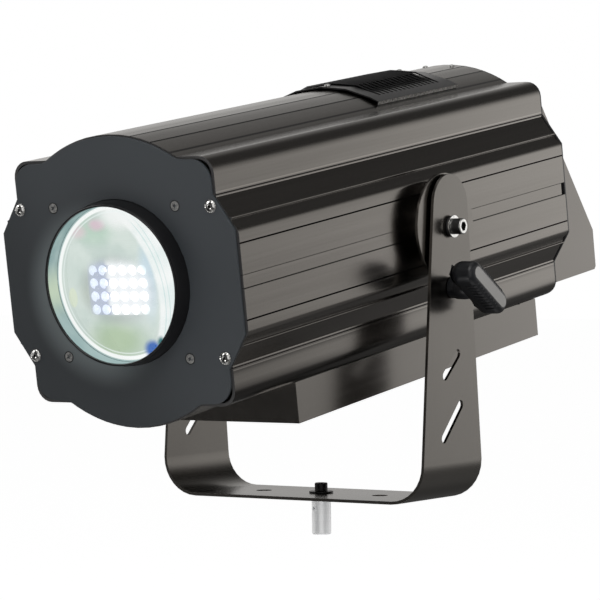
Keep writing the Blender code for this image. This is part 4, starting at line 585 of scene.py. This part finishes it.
def profile_marks(nodes, colour):
    """Draws what is too fine for the solids: painted shade in the grooves, dark seams with painted highlights on
    their edges, a painted highlight along each rib, and soft painted shadows.
    """
    out_x, out_y, out_z = along_beam(nodes).parts()
    side = abs(out_x)
    up = abs(out_z)
    from_crown = abs(out_x.maths("ARCTAN2", out_z)) * math.degrees(1.0)
    # Painted shade darkens the crown's grooves, the valley beside each lobe and the flat face's grooves.
    crown_groove_shade = from_crown.near(10.8, 1.25) + from_crown.near(20.4, 1.15) + from_crown.near(30.1, 1.10)
    crown_groove_shade = crown_groove_shade + from_crown.near(34.0, 0.7) * 0.8
    flat_face = side.rising(0.120, 0.126)
    flat_groove_shade = up.near(0.0343, 0.0014) + out_z.near(-0.0061, 0.0014) * 0.75
    flat_groove_shade = flat_groove_shade + out_z.near(0.0063, 0.0012) * 0.35
    seam_face = side.rising(0.1085, 0.1105)
    seam = seam_face * up.near(0.0776, 0.0013)
    seam_edges = seam_face * (up.near(0.0798, 0.0011) + up.near(0.0757, 0.0010))

    # The slanted face starts at the flat's edge, and its rib lies 12.9 mm along it.
    inwards = 0.133 - side
    upwards = up - 0.0465
    slant_in, slant_up = 0.5526, 0.8333
    along = inwards * slant_in + upwards * slant_up
    across = inwards * slant_up - upwards * slant_in
    rib = along.near(0.0129, 0.0015) * abs(across).falling(0.0015, 0.0025)

    lobe_face = side.rising(0.100, 0.108) * out_z.falling(-0.0800, -0.0770)
    lobe_shadow = out_z.rising(-0.0865, -0.0785) * 0.55 + out_z.falling(-0.102, -0.090) * 0.6
    lobe_shadow = lobe_shadow + out_y.falling(-0.32, 0.05) * 0.40
    belly_shadow = out_z.falling(-0.1120, -0.1085) * 0.8
    shadow = lobe_face * lobe_shadow + belly_shadow
    colour = nodes.blend(shadow.rising(0.0, 1.2), colour, (0.028, 0.026, 0.024))
    # A painted highlight along each rib and on the seams' edges.
    painted_highlight = rib * 0.55 + seam_edges * 0.35
    colour = nodes.blend(painted_highlight.rising(0.0, 1.0), colour, (0.55, 0.52, 0.48))
    grooves = crown_groove_shade + flat_face * flat_groove_shade + seam
    return nodes.blend(grooves.rising(0.1, 0.9), colour, (0.012, 0.011, 0.010))


extruded = drawn_metal("extruded_grey_brown", anodised_dark, anodised_pale, 0.21, profile_marks)
sawn_end = painted("sawn_end", (0.026, 0.026, 0.027), (0.036, 0.035, 0.035), 0.5, 0.0, 1500.0)
for name in ("upper_extrusion", "lower_extrusion", "side_extrusion_right", "side_extrusion_left",
             "track_strip_right", "track_strip_left"):
    extrusion = dressed(name, extruded, 0.00012, 30.0)
    extrusion.data.materials.append(sawn_end)
    for face in extrusion.data.polygons:
        if abs((to_level @ face.normal).y) > 0.9:
            face.material_index = 1
ends = lengthwise("side_extrusion_right")
four_corners = ((1.0, 1.0), (1.0, -1.0), (-1.0, 1.0), (-1.0, -1.0))
for number, (across, up) in enumerate(four_corners, 1):
    bpy.ops.object.select_all(action="DESELECT")
    bpy.ops.mesh.primitive_cylinder_add(vertices=24, radius=bead_radius, depth=max(ends) - min(ends) - 0.0004)
    bead = bpy.context.object
    bead.name = "rib_bead_%d" % number
    bead.location = (across * bead_x, (max(ends) + min(ends)) / 2, up * bead_z)
    bead.rotation_euler = (math.radians(90.0), 0.0, 0.0)
    put(bead, Matrix.Identity(4))
    put(bead, head_place)
    finished(bead, anodised, "head")


# Front plate: a laser-cut sheet with round lobes at its corners and a matte, slightly blue powder coat. Four
# bright pan screws hold it to the housing, and four countersunk screws hold the lens barrel to it.
def distance(out_x, out_z, x, z):
    """How far a place is from a line along the beam."""
    return ((out_x - x) ** 2.0 + (out_z - z) ** 2.0) ** 0.5


powder_coat, nodes, shader = new_finish("powder_coat", 0.6)
out_x, _, out_z = along_beam(nodes).parts()
peel = speckle(nodes, 2200.0)
drift = speckle(nodes, 9.0)
coat = nodes.blend(drift.rising(0.3, 0.7), (0.0270, 0.0318, 0.0365), (0.0300, 0.0350, 0.0398))
# Painted shade darkens the coat towards the lower left, and a painted pool of light from the lens lightens it
# beside the lens, on its left.
painted_shade_lower_left = (out_x + out_z).falling(-0.16, 0.06) * 0.8 + out_x.falling(-0.14, -0.04) * 0.3
coat = nodes.blend(painted_shade_lower_left.rising(0.0, 1.0), coat, (0.0145, 0.0180, 0.0210))
painted_lens_light = distance(out_x, out_z, -0.02, -0.01).falling(0.060, 0.092) * out_x.falling(-0.03, 0.05)
nodes.give(shader["Base Color"], nodes.blend(painted_lens_light * 0.9, coat, (0.105, 0.125, 0.130)))
nodes.give(shader["Roughness"], peel * 0.1 + 0.55)
nodes.give(shader["Normal"], bumped(nodes, peel, 0.12, 0.0002))
sheet = dressed("front_plate", powder_coat, 0.0)
solid_middle = 0.097
solid_radius = 0.013
lobe_radius = 0.020
lobe_middle = solid_middle + solid_radius - lobe_radius
for corner in sheet.data.vertices:
    place = head_place.inverted() @ corner.co
    out = Vector((abs(place.x) - solid_middle, abs(place.z) - solid_middle))
    if min(out) > -0.0005 and max(out) > 0.0:
        out = out * (lobe_radius / solid_radius)
        place.x = math.copysign(lobe_middle + out.x, place.x)
        place.z = math.copysign(lobe_middle + out.y, place.z)
        corner.co = head_place @ place
only(sheet)
bpy.ops.object.mode_set(mode="EDIT")
bpy.ops.mesh.select_mode(type="EDGE")
bpy.ops.mesh.select_all(action="DESELECT")
bpy.ops.object.mode_set(mode="OBJECT")
valley_z = 0.1100
for edge in sheet.data.edges:
    start, stop = [head_place.inverted() @ sheet.data.vertices[number].co for number in edge.vertices]
    in_valley = abs(abs(start.z) - valley_z) < 0.0004 and 0.060 < abs(start.x) < 0.082
    through_sheet = abs(start.y - stop.y) > 0.002 and (start - stop).length < 0.004
    edge.select = in_valley and through_sheet
bpy.ops.object.mode_set(mode="EDIT")
bpy.ops.mesh.bevel(offset=0.0060, segments=6, affect="EDGES")
bpy.ops.object.mode_set(mode="OBJECT")
broken_edges(sheet, 0.0003)
finished(sheet, powder_coat, "head")


def cut(piece, cutter):
    """Takes a cutter's shape out of a piece."""
    only(piece)
    hollow = piece.modifiers.new("cut", "BOOLEAN")
    hollow.operation = "DIFFERENCE"
    hollow.solver = "EXACT"
    hollow.object = cutter
    bpy.ops.object.modifier_apply(modifier="cut")
    bpy.data.objects.remove(cutter)


def cross_recess(head, radius, top, depth):
    """Cuts the tapered cross for the driver."""
    for turn in (0.0, 90.0):
        bpy.ops.object.select_all(action="DESELECT")
        bpy.ops.mesh.primitive_cube_add(size=1.0)
        blade = bpy.context.object
        blade.data.transform(Matrix.Diagonal((radius * 1.15, radius * 0.30, depth * 2, 1.0)))
        for corner in blade.data.vertices:
            if corner.co.z < 0.0:
                corner.co.x *= 0.35
        turned = Matrix.Rotation(math.radians(turn), 4, "Z")
        blade.data.transform(Matrix.Translation((0.0, 0.0, top)) @ turned)
        cut(head, blade)


def dome(radius, height, steps):
    """Profile of a low dome from its rim to its top."""
    ball = (radius * radius + height * height) / (2 * height)
    span = math.asin(radius / ball)
    angles = [span * (1 - step / steps) for step in range(steps + 1)]
    return [(ball * math.sin(angle), ball * math.cos(angle) - ball + height) for angle in angles]


def recess_shaded(head, radius, depth):
    """Gives the recess and the seat of a screw the second finish, black oxide, as painted shade in the cross and
    round the head.
    """
    head.data.materials.append(zinc_plate)
    head.data.materials.append(black_oxide)
    seat_height = 0.00009
    for face in head.data.polygons:
        in_recess = math.hypot(face.center.x, face.center.y) < radius * 0.62 and face.center.z < depth
        if in_recess or face.center.z < seat_height:
            face.material_index = 1


def pan_screw(radius, height):
    """Pan head with its cross, standing on Z = 0."""
    rim = height * 0.35
    head = lathed("pan_head", [(0.0, -0.0003), (radius, -0.0003), (radius, rim)]
                  + [(r, rim + z) for r, z in dome(radius, height - rim, 6)[1:]], 32)
    cross_recess(head, radius, height, height * 0.75)
    recess_shaded(head, radius, height - 0.0005)
    return head


pan_head = pan_screw(0.00475, 0.0025)
lock_washer = lathed("lock_washer", [(0.0040, 0.0002), (0.0058, 0.0001), (0.0060, 0.0003), (0.0058, 0.0006),
                                     (0.0040, 0.0006), (0.0040, 0.0002)], 36)
for corner in lock_washer.data.vertices:
    if math.hypot(corner.co.x, corner.co.y) > 0.0057:
        sector = round(math.degrees(math.atan2(corner.co.y, corner.co.x)) / 10.0)
        corner.co.z += 0.0004 * (sector % 2)
sunk_dome = [(r, 0.0001 + z) for r, z in dome(0.0041, 0.0005, 3)]
sunk_head = lathed("sunk_head", [(0.0, -0.0002), (0.0053, -0.0002), (0.0053, 0.00008), (0.0044, 0.00008),
                                 (0.0043, 0.0001)] + sunk_dome, 32)
cross_recess(sunk_head, 0.0044, 0.0006, 0.0011)
recess_shaded(sunk_head, 0.0044, 0.0001)
sunk_steel, nodes, shader, spots = bare_metal("sunk_steel", (0.13, 0.13, 0.13), (0.26, 0.26, 0.25), 0.35, 1.0,
                                              500.0, edges=(0.35, 0.65))
nodes.give(shader["Metallic"], spots * 0.2 + 0.45)
plate_face = -0.3270
cross_turn = 23.0
to_front = Matrix.Rotation(math.radians(90.0), 4, "X")
number = 0
for x, z, head, look in ((0.1076, 0.0680, pan_head, zinc_plate), (0.06875, 0.0690, sunk_head, sunk_steel)):
    for across, up in reversed(four_corners):
        number += 1
        spin = Matrix.Rotation(math.radians(cross_turn * number), 4, "Z")
        place = head_place @ Matrix.Translation((across * x, plate_face, up * z)) @ to_front @ spin
        screw = copy_of(head, "plate_screw_%d" % number, place)
        # The faces with painted shade keep their black oxide.
        shaded_faces = [face.material_index for face in screw.data.polygons]
        finished(screw, look, "head", 30.0)
        screw.data.materials.append(black_oxide)
        screw.data.polygons.foreach_set("material_index", shaded_faces)
        if head is pan_head:
            finished(copy_of(lock_washer, "lock_washer_%d" % number, place), zinc_plate, "head", 20.0)
for master in (pan_head, lock_washer, sunk_head):
    bpy.data.objects.remove(master)

# Lens: a black barrel with a thin rim round a thick glass with a slightly domed front. Its ground seat is painted
# as a glowing white ring, and a partly clear disc over the back of the glass glows with painted hazy light and
# reflections.
black_anodised = painted("black_anodised", (0.008, 0.008, 0.009), (0.012, 0.012, 0.013), 0.3, 0.4, 1500.0)
lens_radius = 0.0714
lens_back = 0.3150
lens_edge = 0.3422
lens_sag = 0.0038
rim_inside = lens_radius + 0.0003
to_front_of_head = head_place @ to_front
barrel = dressed("lens_barrel", black_anodised)
bpy.ops.object.select_all(action="DESELECT")
bpy.ops.mesh.primitive_cylinder_add(vertices=128, radius=rim_inside, depth=0.060)
bore = bpy.context.object
bore.location = (0.0, 0.0, 0.325)
put(bore, Matrix.Identity(4))
put(bore, to_front_of_head)
cut(barrel, bore)
rim = lathed("lens_rim_ring", [(rim_inside, 0.3417), (rim_inside, 0.3438), (rim_inside + 0.0004, 0.3442),
                               (0.0731, 0.3442), (0.0735, 0.3438), (0.0735, 0.3417),
                               (rim_inside, 0.3417)], 128)
put(rim, to_front_of_head)
finished(rim, black_anodised, "head")
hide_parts("lens_rim")

front_dome = [(r, lens_edge + z) for r, z in dome(lens_radius, lens_sag, 16)]
glass = lathed("front_lens_glass", [(0.0, lens_back), (lens_radius, lens_back)] + front_dome, 128)
put(glass, to_front_of_head)
lens_glass, nodes, shader = new_finish("lens_glass", 0.0, 0.0, Transmission_Weight=1.0, IOR=1.5)
nodes.give(shader["Base Color"], nodes.blend(speckle(nodes, 18.0), (0.95, 0.99, 0.975), (0.98, 1.0, 0.99)))
finished(glass, lens_glass, "head")
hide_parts("front_lens")
# The glass's ground edge is no lamp but glows: a painted teal glow, warmer at the left and paler towards the
# bottom.
ground_edge_glow, nodes, shader = new_finish("ground_edge_glow", 0.8, 0.0, Specular_IOR_Level=0.0,
                                        Emission_Strength=1.0)
out_x, _, out_z = along_beam(nodes).parts()
edge_glow = nodes.blend(speckle(nodes, 30.0, 3.0).rising(0.3, 0.7), (0.22, 0.34, 0.34), (0.36, 0.48, 0.47))
warm_glow = out_z.near(-0.006, 0.030) * out_x.falling(-0.070, -0.060)
edge_glow = nodes.blend(warm_glow * 0.8, edge_glow, (0.60, 0.70, 0.52))
edge_glow = nodes.blend(out_z.falling(-0.060, -0.010) * 0.5, edge_glow, (0.46, 0.60, 0.60))
nodes.give(shader["Base Color"], (0.0, 0.0, 0.0, 1.0))
nodes.give(shader["Emission Color"], edge_glow)
glass.data.materials.append(ground_edge_glow)
for face in glass.data.polygons:
    centre = to_front_of_head.inverted() @ face.center
    if math.hypot(centre.x, centre.y) > lens_radius - 0.0002 and centre.z < lens_edge - 0.0001:
        face.material_index = 1

back_glow_disc = lathed("lens_back_glow", [(0.0, lens_back - 0.0004), (lens_radius - 0.0002, lens_back - 0.0004)], 96)
put(back_glow_disc, to_front_of_head)
glow_finish, nodes, shader = new_finish("lens_back_glow", 1.0, 0.0, Specular_IOR_Level=0.0, Emission_Strength=1.0)
out_x, _, out_z = along_beam(nodes).parts()


def spot(x, z, wide, high, core=0.2):
    """1 in the core of an oval patch of painted glow, falling to 0 at its edge."""
    reach = (((out_x - x) / wide) ** 2.0 + ((out_z - z) / high) ** 2.0) ** 0.5
    return reach.falling(core, 1.0)


# The disc is no lamp but glows: painted hazy light in random clouds, with painted patches of coloured light and
# reflection.
cloud = speckle(nodes, 42.0, 4.0).rising(0.35, 0.65)
glow_colour = nodes.blend(cloud, (0.60, 0.69, 0.65), (0.72, 0.79, 0.75))
for patch, colour in (
        (out_x.falling(-0.060, -0.035) * 0.6, (0.70, 0.77, 0.73)),
        (spot(-0.025, 0.046, 0.030, 0.018) * 0.5, (0.45, 0.66, 0.50)),
        (spot(-0.021, 0.052, 0.013, 0.008) * (0.5 + 0.5 * cloud), (0.90, 0.50, 0.70)),
        (spot(-0.043, 0.046, 0.014, 0.009) * 0.6, (0.84, 0.62, 0.70)),
        (spot(-0.010, -0.052, 0.044, 0.028) * 0.8, (0.42, 0.55, 0.34)),
        (spot(0.030, 0.004, 0.014, 0.050) * 0.6, (0.55, 0.72, 0.90)),
        (spot(0.004, -0.008, 0.046, 0.040) * 0.7, (0.88, 0.89, 0.95)),
        (spot(-0.055, -0.0134, 0.0055, 0.0100, 0.75) * 0.7, (0.76, 0.82, 0.62))):
    glow_colour = nodes.blend(patch, glow_colour, colour)

# A painted reflection: a bright crescent along the right, with two darker streaks in it, and a white wedge at the
# top.
from_crescent = distance(out_x, out_z, -0.0528, -0.0166)
crescent = from_crescent.rising(0.0905, 0.0945)
streak = from_crescent.near(0.0990, 0.0008) + from_crescent.near(0.1035, 0.0006)
bright = nodes.blend((1.0 - cloud) * 0.25 + streak * 0.6, (1.0, 1.0, 1.0), (0.50, 0.72, 0.72))
glow_colour = nodes.blend(crescent, glow_colour, bright)
glow_colour = nodes.blend(spot(0.004, 0.062, 0.030, 0.020, 0.3) * 0.9, glow_colour, (1.0, 1.0, 1.0))

# Painted glow: the seat's white ring and a fine ring inside it, and a painted blue reflection at the lower right.
from_middle = distance(out_x, out_z, 0.0, 0.0)
outside_ring = from_middle.rising(0.0692, 0.0704)
white_ring = from_middle.rising(0.0655, 0.0668) * (1.0 - outside_ring)
glow_colour = nodes.blend(outside_ring, glow_colour, (0.40, 0.54, 0.54))
glow_colour = nodes.blend(white_ring, glow_colour, (1.05, 1.05, 1.05))
glow_colour = nodes.blend(from_middle.near(0.0638, 0.0010) * 0.7, glow_colour, (0.95, 1.0, 1.0))
glow_colour = nodes.blend(spot(0.0275, -0.0600, 0.0120, 0.0110, 0.4), glow_colour, (0.035, 0.14, 0.50))
glow_colour = nodes.blend(spot(0.0370, -0.0540, 0.0060, 0.0080, 0.3), glow_colour, (0.02, 0.18, 0.20))
nodes.give(shader["Base Color"], (0.0, 0.0, 0.0, 1.0))
nodes.give(shader["Emission Color"], glow_colour)
nodes.give(shader["Alpha"], 0.95 - 0.55 * spot(-0.007, -0.007, 0.046, 0.036, 0.65))
finished(back_glow_disc, glow_finish, "head")

# Light engine: 24 emitters on a near-black board, which slides on two rods with its heatsink and fan. The emitters
# glow, and the two columns at the left look bluer through the glass, painted as a dim blue glow. The board is
# given a painted glow, white round the emitters and bluer at the left.
led_white, nodes, shader = new_finish("led_white", 0.25, 0.0, Emission_Strength=2.2)
out_x = along_beam(nodes).parts()[0]
white = nodes.blend(speckle(nodes, 900.0), (0.95, 0.97, 1.0), (1.0, 1.0, 1.0))
nodes.give(shader["Base Color"], (0.9, 0.9, 0.9, 1.0))
nodes.give(shader["Emission Color"], nodes.blend(out_x.falling(-0.0205, -0.0165), white, (0.19, 0.20, 0.34)))
# The board is no lamp: its light is a painted glow.
board_glow, nodes, shader = new_finish("board_glow", 0.5, 0.0, Emission_Strength=1.0)
out_x, _, out_z = along_beam(nodes).parts()
glow_round_emitters = abs(out_x + 0.006).falling(0.027, 0.042) * abs(out_z + 0.007).falling(0.020, 0.032)
glow = nodes.blend(out_x.falling(-0.0205, -0.0150), (0.96, 0.95, 1.0), (0.30, 0.33, 0.56))
nodes.give(shader["Base Color"], nodes.blend(speckle(nodes, 200.0), (0.03, 0.03, 0.03), (0.05, 0.05, 0.05)))
nodes.give(shader["Emission Color"], nodes.blend(glow_round_emitters, (0.30, 0.32, 0.32), glow))
dressed("led_board", board_glow, 0.0002)
board_face = -0.3113
emitter_radius = 0.0046
pitch_x = 0.0107
pitch_z = 0.0117
emitter = lathed("emitter", [(0.0, 0.0), (emitter_radius, 0.0)] + dome(emitter_radius, 0.0020, 6)[1:], 24)
emitters = []
for column in range(6):
    for row in range(4):
        x = (column - 2.5) * pitch_x - 0.0068
        z = (row - 1.5) * pitch_z - 0.0072
        place = head_place @ Matrix.Translation((x, board_face + 0.0018, z)) @ to_front
        emitters.append(copy_of(emitter, "emitter_%d_%d" % (column, row), place))
bpy.data.objects.remove(emitter)
finished(joined(emitters, "led_emitters"), led_white, "light_engine")

mill_aluminium = painted("mill_aluminium", (0.50, 0.51, 0.52), (0.60, 0.61, 0.62), 0.38, 1.0, 700.0)
black_coat = painted("black_coat", (0.009, 0.009, 0.010), (0.013, 0.013, 0.014), 0.42, 0.0, 1500.0)
for look, hidden in ((mill_aluminium, ("engine_carriage", "heatsink", "inner_bulkhead")),
                     (black_coat, ("fan_frame", "fan_rotor", "zoom_motor")),
                     (zinc_plate, ("guide_rod_right", "guide_rod_left", "zoom_screw"))):
    for name in hidden:
        recoloured(name, look)

# Vent cover: a curved black sheet with pressed louvres over the hot-air opening. Its cut side edges are
# bare, and a pan screw holds it at the middle of its front and of its rear.
bare_edge = bare_metal("bare_edge", (0.35, 0.35, 0.34), (0.85, 0.84, 0.82), 0.2, 1.0, 700.0,
                       edges=(0.4, 0.6), detail=3.0)[0]
cover_coat = painted("cover_coat", (0.040, 0.040, 0.041), (0.050, 0.050, 0.051), 0.30, 0.8, 1500.0)
cover = dressed("vent_cover", cover_coat, 0.0002)
cover.data.materials.append(bare_edge)
side_edge_angle = 28.6
for face in cover.data.polygons:
    centre = head_place.inverted() @ face.center
    from_crown = abs(math.degrees(math.atan2(centre.x, centre.z)))
    outward = (to_level @ face.normal).x * math.copysign(1.0, centre.x)
    if from_crown > side_edge_angle and outward > 0.5:
        face.material_index = 1
small_screw = pan_screw(0.0032, 0.0019)
on_cover = ((1.5, 0.1381, 0.0350), (1.5, 0.1381, 0.1715))
on_crown = ((7.0, 0.1345, 0.2560), (-7.0, 0.1345, 0.2560))
for number, (angle, radius, y) in enumerate(on_cover + on_crown, 1):
    place = head_place @ Matrix.Rotation(math.radians(angle), 4, "Y") @ Matrix.Translation((0.0, y, radius))
    finished(copy_of(small_screw, "crown_screw_%d" % number, place), zinc_plate, "head", 30.0)

# Driver tray: a folded sheet under the body with small black screws in its sides.
folded_sheet = drawn_metal("folded_sheet", (0.150, 0.141, 0.131), (0.166, 0.157, 0.146), 0.22)
dressed("driver_tray", folded_sheet, 0.0004)
number = 0
for across in (-1.0, 1.0):
    for y in (-0.1417, 0.2068):
        number += 1
        turn = Matrix.Rotation(math.radians(90.0 * across), 4, "Y")
        place = head_place @ Matrix.Translation((across * 0.1015, y, -0.1095)) @ turn
        screw = copy_of(small_screw, "tray_screw_%d" % number, place)
        finished(screw, black_oxide, "head", 30.0)

# Rear plate and console: a black end plate, and behind it a folded desk with its display, buttons, dials,
# handle and sockets. White print marks the dials and the buttons, and six black screws hold the panel.
dressed("rear_plate", black_coat)
plate_back = max(lengthwise("rear_plate"))
to_rear = Matrix.Rotation(math.radians(-90.0), 4, "X")
number = 0
for x, z in ((0.045, 0.119), (0.1225, 0.030)):
    for across, up in reversed(four_corners):
        number += 1
        place = head_place @ Matrix.Translation((across * x, plate_back, up * z)) @ to_rear
        finished(copy_of(small_screw, "rear_screw_%d" % number, place), zinc_plate, "head", 30.0)
solder_mask = painted("solder_mask", (0.015, 0.085, 0.040), (0.025, 0.115, 0.055), 0.35, 0.0, 300.0)
display_glass = painted("display_glass", (0.006, 0.010, 0.016), (0.010, 0.016, 0.024), 0.12, 0.0, 40.0)
key_rubber = painted("key_rubber", (0.010, 0.010, 0.011), (0.016, 0.016, 0.017), 0.6, 0.0, 900.0)
print_white = painted("print_white", (0.62, 0.62, 0.60), (0.70, 0.70, 0.68), 0.6, 0.0, 900.0)
dressed("console_housing", folded_sheet, 0.0004)
recoloured("driver_board", solder_mask)
recoloured("control_board", solder_mask)
dressed("display_window", display_glass, 0.0002)
dial_axis = joint_at["control_dial_2_turn"]
panel_out = Vector(dial_axis["axis"])
panel_out *= math.copysign(1.0, panel_out.y)
panel_up = panel_out.cross(Vector((1.0, 0.0, 0.0)))
panel_up *= math.copysign(1.0, panel_up.z)
panel_turn = Matrix((Vector((-1.0, 0.0, 0.0)), panel_up, panel_out)).transposed().to_4x4()
dial_row = -0.036
key_row = 0.026
panel_middle = Vector(dial_axis["pos_m"]).dot(panel_up) - dial_row


def front_of(node):
    """How far a solid reaches along the panel's axis."""
    return max(corner.co.dot(panel_out) for corner in frame["nodes"][node].data.vertices)


panel_face = front_of("console_housing")


def on_panel(u, v, height=0.0):
    """A place on the sloped panel, from its middle, as its user sees it, with Z pointing out of it."""
    there = Vector((-u, 0.0, 0.0)) + panel_up * (panel_middle + v) + panel_out * (panel_face + height)
    return Matrix.Translation(there) @ panel_turn


number = 0
for u in (-0.104, 0.104):
    for v in (-0.0775, 0.0, 0.0775):
        number += 1
        screw = copy_of(small_screw, "panel_screw_%d" % number, on_panel(u, v))
        finished(screw, black_oxide, "head", 30.0)
bpy.data.objects.remove(small_screw)
print_thickness = 0.0002
pointer_out = 0.0085
tick_out = 0.0185
first_tick = -135.0
tick_step = 27.0


def bar_mark(name, wide, high, place, look, body):
    """A thin printed bar."""
    bpy.ops.object.select_all(action="DESELECT")
    bpy.ops.mesh.primitive_cube_add(size=1.0)
    mark = bpy.context.object
    mark.name = name
    mark.data.transform(Matrix.Diagonal((wide, high, print_thickness, 1.0)))
    put(mark, place)
    return finished(mark, look, body)


for number in (1, 2, 3):
    name = "control_dial_%d" % number
    dressed(name, knob_plastic, 0.0004)
    u = -Vector(joint_at[name + "_turn"]["pos_m"]).x
    pointer_place = on_panel(u, dial_row + pointer_out, front_of(name) - panel_face)
    bar_mark("dial_pointer_%d" % number, 0.0012, 0.0075, pointer_place, print_white, body_of[name])
    for step in range(11):
        angle = math.radians(first_tick + tick_step * step)
        out = Matrix.Rotation(angle, 4, "Z") @ Matrix.Translation((0.0, tick_out, 0.0))
        bar_mark("dial_%d_tick_%d" % (number, step), 0.0006, 0.0026, on_panel(u, dial_row) @ out, print_white,
                 "head")

key_pitch = 0.020
for number, turn in enumerate((0.0, 180.0, 90.0, -90.0), 1):
    name = "button_%d" % number
    dressed(name, key_rubber)
    bpy.ops.object.select_all(action="DESELECT")
    bpy.ops.mesh.primitive_cylinder_add(vertices=3, radius=0.0028, depth=print_thickness)
    arrow = bpy.context.object
    arrow.name = "button_arrow_%d" % number
    key_place = on_panel(key_pitch * number, key_row, front_of(name) - panel_face)
    put(arrow, key_place @ Matrix.Rotation(math.radians(turn), 4, "Z"))
    finished(arrow, print_white, body_of[name])

# The display shows 100. Each segment has its place in the digit and its size, lying or standing.
lit_digit, nodes, shader = new_finish("lit_digit", 0.4, 0.0, Emission_Strength=1.0)
nodes.give(shader["Base Color"], (0.02, 0.04, 0.06, 1.0))
lit_blue = nodes.blend(speckle(nodes, 300.0), (0.30, 0.62, 0.85), (0.42, 0.74, 0.95))
nodes.give(shader["Emission Color"], lit_blue)
lying = (0.0056, 0.0012)
standing = (0.0012, 0.0056)
segments = {"top": (0.0, 0.0070, lying), "bottom": (0.0, -0.0070, lying),
            "upper_left": (-0.0035, 0.0035, standing), "upper_right": (0.0035, 0.0035, standing),
            "lower_left": (-0.0035, -0.0035, standing), "lower_right": (0.0035, -0.0035, standing)}
one = ("upper_right", "lower_right")
zero = tuple(segments)
digits_u = -0.047
digit_pitch = 0.013
digit_face = front_of("display_window") - panel_face + 0.0001
for column, lit_segments in enumerate((one, zero, zero)):
    for segment in lit_segments:
        across, up, (wide, high) = segments[segment]
        place = on_panel(digits_u + (column - 1) * digit_pitch + across, key_row + up, digit_face)
        bar_mark("digit_%d_%s" % (column, segment), wide, high, place, lit_digit, "head")
dressed("steering_handle", knob_plastic, 0.0002)
for name in ("mains_inlet", "switch_bezel", "mains_rocker", "data_in", "data_out"):
    dressed(name, bush_plastic, 0.0002)
